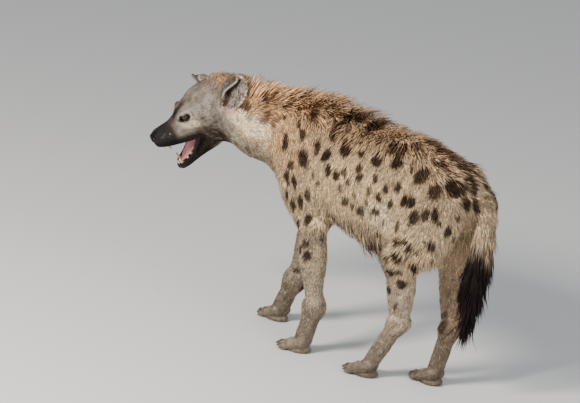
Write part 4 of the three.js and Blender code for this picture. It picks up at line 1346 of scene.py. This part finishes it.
def skin_colour(p):
    """The pelt, with the bare skin of mouth, nose, lips and lids."""
    colour = pelt(p)
    colour = wash(colour, SOOT, smooth(4, 2, LIPS(p)))
    mouth = mouth_cover(p)
    colour = wash(colour, PINK, mouth)
    roof = ROOF(p) < TROUGH(p)
    # The roof of the mouth is darker: the palate's own colour with painted shade.
    colour = wash(colour, SHADED_PALATE, mouth * roof * smooth(110, 150, HEAD.local(p)[:, 0]))
    return wash(colour, SOOT, nose_cover(p))


# %% [markdown]
# ## Materials
# Hair is a matt fibre: it scatters light and has a faint sheen. Wet skin, a nose and an eye are smooth and
# reflect the lamps. Each material takes its colour from the mesh, where the washes have left it, and adds
# the fine unevenness of the real surface.


# %% A node with its settings and links
def add_node(tree, kind, settings=None, inputs=None):
    """A new node. A setting is set on it. An input is a value, or another node's output."""
    made = tree.nodes.new(kind)
    for name, value in (settings or {}).items():
        setattr(made, name, value)
    for name, value in (inputs or {}).items():
        if isinstance(value, bpy.types.NodeSocket):
            tree.links.new(value, made.inputs[name])
        else:
            made.inputs[name].default_value = value
    return made


def new_material(name):
    material = bpy.data.materials.new(name)
    material.use_nodes = True
    tree = material.node_tree
    return material, tree, tree.nodes["Principled BSDF"]


def noise_node(tree, scale, detail=2.0):
    """Soft noise fixed to the object. A larger scale gives finer grain."""
    place = add_node(tree, "ShaderNodeTexCoord")
    inputs = {"Vector": place.outputs["Object"], "Scale": scale, "Detail": detail}
    return add_node(tree, "ShaderNodeTexNoise", None, inputs)


def stored_colour(tree, shader, noise, low, high):
    """The colour stored on the mesh, made darker by low and lighter by high from grain to grain."""
    stored = add_node(tree, "ShaderNodeAttribute", {"attribute_name": "coat"})
    span = {"Value": noise.outputs["Fac"], "From Min": 0.3, "From Max": 0.7, "To Min": low, "To Max": high}
    shade = add_node(tree, "ShaderNodeMapRange", None, span)
    inputs = {"Vector": stored.outputs["Color"], "Scale": shade.outputs["Result"]}
    mixed = add_node(tree, "ShaderNodeVectorMath", {"operation": "SCALE"}, inputs)
    tree.links.new(mixed.outputs["Vector"], shader.inputs["Base Color"])


def two_tones(tree, shader, scale, dark, light):
    """Two colours that pass into each other over the object."""
    noise = noise_node(tree, scale)
    inputs = {"Factor": noise.outputs["Fac"], 6: (*dark, 1), 7: (*light, 1)}
    tone = add_node(tree, "ShaderNodeMix", {"data_type": "RGBA"}, inputs)
    tree.links.new(tone.outputs[2], shader.inputs["Base Color"])


def bump_from(tree, shader, noise, strength, depth):
    """Small furrows from the noise, with their depth in metres."""
    inputs = {"Height": noise.outputs["Fac"], "Strength": strength, "Distance": depth}
    bump = add_node(tree, "ShaderNodeBump", None, inputs)
    tree.links.new(bump.outputs["Normal"], shader.inputs["Normal"])


# %% Hair and skin
def hair_material(name):
    """Hair is keratin in a rough sheath, so it looks matt. Its tone changes from hair to hair."""
    material, tree, shader = new_material(name)
    stored_colour(tree, shader, noise_node(tree, 220.0), 0.65, 1.35)
    shader.inputs["Roughness"].default_value = 0.72
    shader.inputs["Specular IOR Level"].default_value = 0.12
    return material


def skin_material(name):
    """Skin under short fur looks matt and finely furrowed. Where it is bare it is smooth, wet and glossy."""
    material, tree, shader = new_material(name)
    noise = noise_node(tree, 260.0, 4.0)
    stored_colour(tree, shader, noise, 0.75, 1.15)
    wet = add_node(tree, "ShaderNodeAttribute", {"attribute_name": "wet"})
    span = {"Value": wet.outputs["Fac"], "To Min": 0.75, "To Max": 0.2}
    rough = add_node(tree, "ShaderNodeMapRange", None, span)
    tree.links.new(rough.outputs["Result"], shader.inputs["Roughness"])
    bump_from(tree, shader, noise, 0.5, 0.0015)
    shader.inputs["Specular IOR Level"].default_value = 0.2
    return material


def store_colours(mesh, name, colours):
    """Linear colours on a mesh's points."""
    layer = mesh.color_attributes.new(name, "FLOAT_COLOR", "POINT")
    full = np.concatenate([colours, np.ones((len(colours), 1))], axis=1)
    layer.data.foreach_set("color", full.astype(np.float32).ravel())


def store_values(mesh, name, values):
    """One number for each of a mesh's points."""
    layer = mesh.attributes.new(name, "FLOAT", "POINT")
    layer.data.foreach_set("value", values.astype(np.float32))


# %% Dress the skin
def normals_of(mesh):
    flat = np.empty(len(mesh.vertices) * 3, np.float32)
    mesh.vertex_normals.foreach_get("vector", flat)
    return flat.reshape(-1, 3).astype(float)


skin_points = from_frame(positions(skin.data))
skin_away = normals_of(skin.data)
store_colours(skin.data, "coat", in_parts(skin_colour, skin_points, 50000))


def wetness(p):
    """1 in the mouth, less on the lips, the nose, the lids and the licked side of the muzzle."""
    s, l, t = HEAD.local(p).T
    licked = soft_ball(np.stack([s, np.abs(l), t], 1), vec(198, 40, -36), (30, 18, 20))
    licked = licked * smooth(0.05, 0.35, drift(p, 5, 21))
    lids = smooth(18, 16.5, eye_distance(p))
    places = [mouth_cover(p), smooth(3, 1.5, LIPS(p)), 0.9 * nose_cover(p), 0.95 * licked, 0.8 * lids]
    return np.max(places, axis=0)


store_values(skin.data, "wet", wetness(skin_points))
skin.data.materials.append(skin_material("short_fur_and_skin"))

# %% [markdown]
# The skin is unwrapped onto a flat square, as a pelt is laid out. The hair takes its place on the same
# square from its root, so that a picture of the coat can be baked for both.

# %% Unwrap
bpy.context.view_layer.objects.active = skin
skin.select_set(True)
bpy.ops.object.mode_set(mode="EDIT")
bpy.ops.mesh.select_all(action="SELECT")
bpy.ops.uv.smart_project(angle_limit=math.radians(75), island_margin=0.002)
bpy.ops.object.mode_set(mode="OBJECT")
skin.data.uv_layers[0].name = "OFBake"

# %% [markdown]
# ## The coat
# Hair could be combed as particles, but a part has to be solid. Here each tuft is a thin closed blade: a
# few rows of three points and a tip, bent along the lie. How long, wide and upright it is depends on where
# it grows, and where tufts are small there are more of them, so that the skin is covered everywhere.


# %% Scatter roots evenly
PATH_CELL = 12
PATH_BITS = 8


def spread_roots(mesh, density, seed):
    """Roots on the mesh: point, way out and place on the unwrap. density is in roots for each square mm."""
    mesh.calc_loop_triangles()
    count = len(mesh.loop_triangles)
    corners, loops = np.empty(count * 3, np.int32), np.empty(count * 3, np.int32)
    mesh.loop_triangles.foreach_get("vertices", corners)
    mesh.loop_triangles.foreach_get("loops", loops)
    corners, loops = corners.reshape(-1, 3), loops.reshape(-1, 3)
    p = skin_points[corners]
    middle = p.mean(1)
    area = np.linalg.norm(np.cross(p[:, 1] - p[:, 0], p[:, 2] - p[:, 0]), axis=1) / 2
    # The triangles are put in the order of a winding path through small cells. Roots drawn at even steps
    # along that path are spread evenly over the skin.
    grid = np.clip((middle - LOW) / PATH_CELL, 0, 2**PATH_BITS - 1).astype(int)
    code = np.zeros(count, int)
    for bit in range(PATH_BITS):
        for axis in range(3):
            code |= ((grid[:, axis] >> bit) & 1) << (3 * bit + axis)
    order = np.argsort(code, kind="stable")
    away = skin_away[corners].mean(1)
    total = np.cumsum((area * density(middle, unit(away)))[order])
    random = np.random.default_rng(seed)
    number = int(total[-1])
    draws = (np.arange(number) + random.random(number)) * total[-1] / number
    chosen = order[np.clip(np.searchsorted(total, draws), 0, count - 1)]
    a, b = random.random((2, number))
    over = a + b > 1
    a, b = np.where(over, 1 - a, a), np.where(over, 1 - b, b)
    shares = np.stack([1 - a - b, a, b], 1)[:, :, None]
    flat = np.empty(len(mesh.loops) * 2, np.float32)
    mesh.uv_layers["OFBake"].data.foreach_get("uv", flat)
    uv = flat.reshape(-1, 2)
    root = (skin_points[corners[chosen]] * shares).sum(1)
    out = unit((skin_away[corners[chosen]] * shares).sum(1))
    return root, out, (uv[loops[chosen]] * shares).sum(1)


# %% How the hair grows from place to place
COVER = 5.8  # how many times over the tufts cover the skin


def fringe(p):
    """1 on the low edge of the belly in front of the hind legs, where the hair hangs longest."""
    x, _, z = p.T
    return smooth(-50, 20, x) * smooth(170, 120, x) * smooth(442, 424, z) * smooth(350, 370, z)


def hair_style(p, away):
    """Length, width and rise of the hair, in millimetres and degrees."""
    x, _, z = p.T
    s, l, t = HEAD.local(p).T
    up = away[:, 2]
    length = np.full(len(p), 26.0)
    width = np.full(len(p), 2.5)
    rise = np.full(len(p), 14.0)

    def set_hair(amount, long, wide, angle):
        nonlocal length, width, rise
        length, width, rise = mix(length, long, amount), mix(width, wide, amount), mix(rise, angle, amount)

    # Neck, lower flank, belly and the fringe in front of the hind legs.
    set_hair(smooth(-250, -380, x), 32, 2.6, 15)
    set_hair(smooth(560, 470, z) * smooth(330, 400, z) * smooth(-160, -60, x), 36, 3.2, 15)
    set_hair(smooth(-0.2, -0.7, up) * smooth(520, 470, z), 52, 3.8, 24)
    set_hair(fringe(p) * smooth(-0.1, -0.5, up), 84, 4, 50)
    # The crest along the back, and the mane on the nape.
    crest = smooth(0.45, 0.85, up) * smooth(600, 660, z) * smooth(400, 330, x)
    nape = smooth(-470, -550, x)
    crest_length = mix(46, 74, smooth(60, -120, x))
    crest_rise = mix(30, 40, smooth(80, -120, x)) - 6 * smooth(-400, -470, x)
    set_hair(crest, mix(crest_length, 44, nape), mix(3.6, 2.8, nape), mix(crest_rise, 26, nape))
    # Throat, legs and paws.
    set_hair(smooth(-380, -460, x) * smooth(-0.1, -0.6, up), 26, 3.2, 12)
    leg = smooth(450, 340, z)
    set_hair(leg, 15, 2.7, 13)
    set_hair(smooth(110, 50, z), 9, 2.2, 14)
    # Face, cheek, crown and muzzle.
    face = head_part(p)
    set_hair(face, 10, 1.9, 13)
    set_hair(face * smooth(60, 10, s) * smooth(-10, -50, t), 20, 2.5, 16)
    set_hair(face * smooth(40, 0, s) * smooth(50, 20, np.abs(l)) * smooth(20, 60, t), 25, 2, 30)
    set_hair(face * smooth(120, 160, s), 4.5, 1.4, 11)
    # The brush of the tail, and the ears.
    on_tail = smooth(16, 6, tail_form(p)) * smooth(640, 560, z)
    set_hair(on_tail, mix(105, 50, smooth(500, 600, z)), 4, 15)
    set_hair(smooth(15, 9, ear_gap(p)), 6, 1.4, 9)
    set_hair(ear_inside(p), 11, 1.2, 22)
    return length, width, rise


def hair_density(p, away):
    """Roots for each square millimetre. The brush of the tail is thick, and the muzzle almost bare."""
    length, width, _ = hair_style(p, away)
    brush = 1 + 4 * smooth(16, 6, tail_form(p)) * smooth(640, 560, p[:, 2])
    muzzle = 1 - 0.75 * smooth(160, 195, HEAD.local(p)[:, 0])
    return COVER / (length * width) * brush * muzzle * (1 - bare_cover(p, away)) * (1 - 0.7 * ear_inside(p))


# %% Build tufts
HAIR_PATCH = 0.003  # how much of the unwrapped square a tuft takes


def volume_of(points, faces):
    """The volume inside a closed mesh. It is negative where the faces look inwards."""
    a, b, c = np.moveaxis((points - points.mean(0))[faces], 1, 0)
    return (a * np.cross(b, c)).sum() / 6


def tuft_mesh(name, roots, steps, material):
    """One mesh of closed tapered blades. steps are the heights of the rows below the tip."""
    p, away, lie, uv, length, width, rise, shaded_root, tip = roots
    number = len(p)
    across_hair = unit(np.cross(lie, away))
    lift, run = np.sin(np.radians(rise)), np.cos(np.radians(rise))
    sink = np.minimum(length * 0.12, 5)
    rows, colours, patch = [], [], []
    for t in steps + [1.0]:
        # A blade leaves the skin at its steepest, bends over and droops towards the tip.
        high = (lift * 1.35 * t - lift * 0.55 * t * t) * length - sink * (1 - t)
        middle = p + away * high[:, None] + lie * (run * t * length)[:, None]
        middle = middle - Z * (0.05 * length * t * t)[:, None]
        middle[:, 2] = np.maximum(middle[:, 2], 1.5)
        half = (width / 2 * (1.0 if t < 1 else 0) * (0.85 + 0.5 * t if t < 0.5 else 1.25 - 0.6 * t))[:, None]
        # The colour runs from the painted shade at the root out to the tip.
        shade = mix(shaded_root, tip, t)
        if t < 1:
            rows += [middle - across_hair * half, middle + across_hair * half, middle + away * half * 0.7]
            colours += [shade, shade, shade]
            patch += [(-0.5, t - 0.5), (0.5, t - 0.5), (0.0, t - 0.5)]
        else:
            rows.append(middle)
            colours.append(shade)
            patch.append((0.0, 0.5))
    each = len(rows)
    points = np.stack(rows, 1).reshape(-1, 3)
    faces = [(0, 2, 1)]
    last = len(steps) - 1
    for r in range(last):
        a, b = 3 * r, 3 * r + 3
        for i, k in ((0, 1), (1, 2), (2, 0)):
            faces += [(a + i, a + k, b + k), (a + i, b + k, b + i)]
    faces += [(3 * last + i, 3 * last + k, each - 1) for i, k in ((0, 1), (1, 2), (2, 0))]
    faces = np.array(faces)
    if volume_of(points[:each], faces) < 0:
        faces = faces[:, ::-1]
    all_faces = (np.arange(number)[:, None, None] * each + faces).reshape(-1, 3)
    obj = make_object(name, to_frame(points), all_faces)
    store_colours(obj.data, "coat", np.stack(colours, 1).reshape(-1, 3))
    spots = (uv[:, None] + np.array(patch) * HAIR_PATCH).reshape(-1, 2)
    layer = obj.data.uv_layers.new(name="OFBake")
    layer.data.foreach_set("uv", spots[all_faces.ravel()].astype(np.float32).ravel())
    obj.data.materials.append(material)
    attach(obj, BODY)
    return obj


def grow(seed):
    """Everything that tuft_mesh needs, with a row for each tuft."""
    root, away, uv = spread_roots(skin.data, hair_density, seed)
    random = np.random.default_rng(seed)
    number = len(root)
    length, width, rise = hair_style(root, away)
    lie = hair_lie(root, away)
    stray = drift(root, 26, 31, 3) * 0.35 + random.normal(0, 0.1, (number, 3))
    lie = lie + stray - Z * fringe(root)[:, None]
    lie = unit(lie - (lie * away).sum(1)[:, None] * away)
    length = length * (1 + 0.22 * drift(root, 20, 32)) * random.uniform(0.75, 1.2, number)
    width = width * random.uniform(0.75, 1.3, number)
    rise = rise * (1 + 0.35 * drift(root, 24, 33)) * random.uniform(0.8, 1.25, number)
    colour = pelt(root)
    # Tufts differ in tone one by one and in clumps. They are darker at the root, which is painted shade deep
    # in the coat (less where a tuft stands up), and lighter at the tip.
    clump = 1 + 0.5 * drift(root, 7, 34) + 0.2 * drift(root, 20, 35)
    tone = random.uniform(0.66, 1.36, (number, 1)) * clump[:, None]
    raised = smooth(22, 34, rise)[:, None]
    shaded_root, tip = colour * tone * mix(0.62, 0.85, raised), colour * tone * 1.3
    tip = wash(tip, CREAM, 0.6 * random.random(number) ** 3 * np.clip(colour.mean(1) / 0.35, 0, 1))
    dark_tips = smooth(0.5, 0.85, away[:, 2]) * smooth(660, 730, root[:, 2]) * random.random(number)
    tip = wash(tip, BROWN, 0.7 * dark_tips * smooth(-420, -260, root[:, 0]))
    everything = (root, away, lie, uv, length, width, rise, shaded_root, tip)
    return everything


everything = grow(5)
print("tufts:", len(everything[0]))
COAT = hair_material("hair_fibre")
PIECE_TRIANGLES = 190000
kinds = [("short", 0, 17, [0.0]), ("coat", 17, 58, [0.0, 0.45]), ("long", 58, 400, [0.0, 0.3, 0.65])]
total = 0
for kind, shortest, longest, steps in kinds:
    chosen = np.flatnonzero((everything[4] >= shortest) & (everything[4] < longest))
    each = 1 + 6 * (len(steps) - 1) + 3
    share = PIECE_TRIANGLES // each
    for n, start in enumerate(range(0, len(chosen), share)):
        part = chosen[start : start + share]
        piece = tuft_mesh(f"hair_{kind}_{n + 1}", [values[part] for values in everything], steps, COAT)
        total += len(piece.data.polygons)
        print(piece.name, len(part), "tufts,", len(piece.data.polygons), "triangles")
print("coat:", total, "triangles")

# %% [markdown]
# ## Eyes, tongue, teeth and claws
# These aren't flesh or hair, so each is a piece of its own. An eye is a ball with a clear bulge in front, and
# its colours run in rings: a round pupil, a brown iris and a dark rim. A wet surface needs a low roughness
# and a thin clear coat, so that the lamps show in it.


# %% Lofts and rings
def loft(name, rings, material):
    """A closed tube through rings of points in millimetres."""
    count, sides = len(rings), len(rings[0])
    points = np.concatenate([np.concatenate(rings), [rings[0].mean(0), rings[-1].mean(0)]])
    first, last = count * sides, count * sides + 1
    faces = []
    for n in range(sides):
        m = (n + 1) % sides
        faces += [(first, m, n), (last, (count - 1) * sides + n, (count - 1) * sides + m)]
        for r in range(count - 1):
            a, b = r * sides, (r + 1) * sides
            faces += [(a + n, a + m, b + m), (a + n, b + m, b + n)]
    faces = np.array(faces)
    if volume_of(points, faces) < 0:
        faces = faces[:, ::-1]
    obj = make_object(name, to_frame(points), faces)
    obj.data.materials.append(material)
    return obj


def join_pieces(name, pieces):
    """Several closed pieces as one object."""
    with bpy.context.temp_override(active_object=pieces[0], selected_editable_objects=pieces):
        bpy.ops.object.join()
    pieces[0].name = name
    pieces[0].data.name = name
    return pieces[0]


# %% Eyes
def eye_material(name):
    """A wet cornea over the fibres of a brown iris gives the eye its one sharp glint."""
    material, tree, shader = new_material(name)
    stored_colour(tree, shader, noise_node(tree, 900.0), 0.7, 1.3)
    shader.inputs["Roughness"].default_value = 0.12
    shader.inputs["IOR"].default_value = CORNEA_IOR
    shader.inputs["Coat Weight"].default_value = 0.5
    shader.inputs["Coat Roughness"].default_value = 0.03
    return material


CORNEA_IOR = 1.376
IRIS_RADIUS = 7.0
PUPIL_RADIUS = 3.2
PUPIL = hexa("#050404")
IRIS = hexa("#34190b")
DARK_RIM = hexa("#1a0f0a")


def eye(name, l, material):
    """An eyeball from rings about its gaze. Each ring has the colour of its place in the iris."""
    gaze, slant, rise = eye_ways(l)
    centre = EYES[name]
    rings, colours = [], []
    for a in np.linspace(0.02, math.pi - 0.02, 40):
        bulge = 0.9 * smooth(0.62, 0.2, a)
        radius = (EYE_RADIUS - 0.4 + bulge) * math.sin(a)
        middle = centre + gaze * (EYE_RADIUS - 0.4 + bulge) * math.cos(a)
        turn = np.linspace(0, 2 * math.pi, 32, endpoint=False)[:, None]
        rings.append(middle + radius * (np.cos(turn) * slant + np.sin(turn) * rise))
        from_axis = np.array([radius])
        tone = wash(PUPIL[None], IRIS, smooth(PUPIL_RADIUS - 0.4, PUPIL_RADIUS + 0.5, from_axis))
        tone = wash(tone, DARK_RIM, smooth(IRIS_RADIUS - 1.2, IRIS_RADIUS, from_axis))
        colours += [tone[0] if a < 1.5 else DARK_RIM] * 32
    ball = loft(f"eyeball_{name}", rings, material)
    store_colours(ball.data, "coat", np.array(colours + [PUPIL, DARK_RIM]))
    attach(ball, BODY)
    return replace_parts(ball, f"eye_{name}")


CORNEA = eye_material("wet_cornea")
for name, l in (("left", 1), ("right", -1)):
    eye(name, l, CORNEA)


# %% [markdown]
# The tongue is a soft muscle with a groove along its middle and a rough, moist top. Teeth are enamel: pale,
# yellowed towards the gum and glossy. Claws and the horn of a nail are dull and dark, worn at the tip.


# %% Tongue
def tongue_material(name):
    """Moist flesh: pink, darker in patches, with fine papillae that break up the gloss. The paler pink is
    painted highlight.
    """
    material, tree, shader = new_material(name)
    two_tones(tree, shader, 60.0, hexa("#b8616b"), hexa("#e59ba1"))
    bump_from(tree, shader, noise_node(tree, 900.0), 0.4, 0.0006)
    shader.inputs["Roughness"].default_value = 0.3
    return material


# Rows: station along the jaw, half width, half height, level.
TONGUE_ROWS = [(4, 22, 9, 31), (28, 28, 11, 31), (60, 28, 11, 24), (90, 22, 8, 15)]
TONGUE_ROWS += [(112, 16, 5, 8), (122, 10, 3, 5)]


def tongue():
    """A flat body with a groove along its middle, rounded off at the tip."""
    rings = []
    turn = np.linspace(0, 2 * math.pi, 28, endpoint=False)
    for s in np.linspace(2, 124, 26):
        wide, high, level = along(TONGUE_ROWS, s)[0]
        blunt = math.sqrt(max(1 - ((s - 100) / 25) ** 2, 0.03)) if s > 100 else 1
        groove = 2.4 * np.exp(-((np.cos(turn) * wide / 5) ** 2)) * (np.sin(turn) > 0)
        across_tongue = np.cos(turn) * wide * blunt
        tall = np.sin(turn) * high * blunt - groove
        rings.append(np.array([JAW.at(s, l, level + t) for l, t in zip(across_tongue, tall)]))
    piece = loft("tongue_soft", rings, tongue_material("tongue_flesh"))
    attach(piece, BODY)
    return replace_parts(piece, "tongue")


tongue()


# %% Teeth
def horn(points, radii, sides=10, twist=X):
    """Rings of a curved cone."""
    points = np.array(points)
    rings = []
    for i, (point, radius) in enumerate(zip(points, radii)):
        axis = unit(points[min(i + 1, len(points) - 1)] - points[max(i - 1, 0)])
        u = unit(np.cross(axis, twist + Y * 0.13))
        v = np.cross(axis, u)
        turn = np.linspace(0, 2 * math.pi, sides, endpoint=False)[:, None]
        rings.append(point + radius * (np.cos(turn) * u + np.sin(turn) * v))
    return rings


def tooth(place, at, lean, height, radius, bend=0.0):
    """A pointed tooth in the head's or the jaw's frame, with its root sunk in the gum."""
    root, way = place.at(*at), place.way(*lean)
    back = -place.axes[0]
    t = np.linspace(-0.35, 1, 7)
    points = [root + way * height * a + back * bend * max(a, 0) ** 2 for a in t]
    radii = [radius * math.sqrt(max(1 - max(a, 0) ** 1.6, 0.012)) for a in t]
    return loft("tooth", horn(points, radii), ENAMEL)


def enamel_material(name):
    """Enamel is dense, so it is glossy, and it is stained yellow-brown in places."""
    material, tree, shader = new_material(name)
    two_tones(tree, shader, 120.0, hexa("#b07f3e"), hexa("#e6d3a4"))
    shader.inputs["Roughness"].default_value = 0.25
    shader.inputs["IOR"].default_value = ENAMEL_IOR
    return material


def claw_material(name):
    """Claw horn is dark and dull, with paler worn streaks."""
    material, tree, shader = new_material(name)
    two_tones(tree, shader, 300.0, hexa("#17120e"), hexa("#54473a"))
    shader.inputs["Roughness"].default_value = 0.45
    return material


ENAMEL_IOR = 1.62
ENAMEL = enamel_material("tooth_enamel")
CLAW = claw_material("claw_horn")
upper_teeth, lower_teeth = [], []
for l in (1, -1):
    upper_teeth.append(tooth(HEAD, (214, l * 25, -62), (-0.1, l * 0.12, -1), 23, 5.6, 5))
    for w in (5, 12):
        upper_teeth.append(tooth(HEAD, (236 - w * 0.5, l * w, -62), (0.1, 0, -1), 9, 3.2))
    for s, high in ((196, 5), (178, 8), (158, 9)):
        upper_teeth.append(tooth(HEAD, (s, l * (46 - s * 0.12), -63), (0, 0, -1), high, 5.4))
    lower_teeth.append(tooth(JAW, (121, l * 17, 3), (0.1, l * 0.16, 1), 25, 5.4, 5))
    for w in (4, 10):
        lower_teeth.append(tooth(JAW, (133 - w * 0.3, l * w, 2), (0.3, 0, 1), 9, 3))
    for s, high in ((98, 6), (80, 8), (60, 9)):
        lower_teeth.append(tooth(JAW, (s, l * (42 - s * 0.24), jaw_top(s) - 3), (0, 0, 1), high, 5))
for name, teeth in (("teeth_upper", upper_teeth), ("teeth_lower", lower_teeth)):
    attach(join_pieces(name, teeth), BODY)

# %% Claws: each is a row of forward reach, height and radius
CLAW_ROWS = [(4, 17, 5), (11, 17, 4.8), (17, 14.5, 3.8), (21, 11.5, 2.4), (23.5, 8, 0.7)]
claws = []
for _, toes in LEGS.values():
    for _, tip, ahead in toes:
        points = [tip * vec(1, 1, 0) + ahead * reach + Z * level for reach, level, _ in CLAW_ROWS]
        radii = [radius for _, _, radius in CLAW_ROWS]
        claws.append(loft("claw", horn(points, radii, 8, np.cross(ahead, Z)), CLAW))
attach(join_pieces("claws", claws), BODY)

# %% [markdown]
# ## Camera, floor and light
# The camera stands nine metres off with a long lens, behind the animal's left shoulder and a little above
# it. A long lens keeps near and far legs almost the same size, as the photograph does.

# %% Camera
from mathutils import Matrix, Vector

camera = bpy.data.objects.new("camera", bpy.data.cameras.new("camera"))
bpy.context.scene.collection.objects.link(camera)
camera.data.lens = LENS
camera.data.sensor_width = SENSOR
camera.data.clip_end = 100
place = np.eye(4)
place[:3, :3] = np.stack([across, upward, -forward], 1)
place[:3, 3] = to_frame(CAMERA_AT)
camera.matrix_world = Matrix(place.tolist())
bpy.context.scene.camera = camera

# %% Floor and light
floor = make_object("floor", [(-6, -6, 0), (6, -6, 0), (6, 6, 0), (-6, 6, 0)], [(0, 1, 2, 3)])
floor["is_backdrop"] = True
# Pale matt paper, which shows the shadows without a colour of its own.
paper, _, paper_shader = new_material("pale_floor")
paper_shader.inputs["Base Color"].default_value = (0.72, 0.71, 0.69, 1)
floor.data.materials.append(paper)
world = bpy.data.worlds.new("studio")
bpy.context.scene.world = world
world.use_nodes = True
world.node_tree.nodes["Background"].inputs["Color"].default_value = (0.9, 0.94, 1, 1)
world.node_tree.nodes["Background"].inputs["Strength"].default_value = 0.5


def add_light(name, at, size, power, colour):
    lamp = bpy.data.lights.new(name, "AREA")
    lamp.size = size
    lamp.energy = power
    lamp.color = colour
    obj = bpy.data.objects.new(name, lamp)
    bpy.context.scene.collection.objects.link(obj)
    obj.location = at
    obj.rotation_euler = (Vector((0, 0, 0.5)) - Vector(at)).to_track_quat("-Z", "Y").to_euler()


add_light("key", (-0.6, -3.9, 3.1), 1.2, 390, (1, 0.95, 0.88))
add_light("fill", (3.4, -1.2, 2.2), 2.5, 60, (0.9, 0.95, 1))

# %% Finish
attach(skin, BODY)
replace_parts(skin, *[n for n in frame["nodes"] if not n.startswith("eye") and n != "tongue"])
low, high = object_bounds()
sizes = {"cad": [list(cad_low), list(cad_high)], "visual": [list(low), list(high)]}
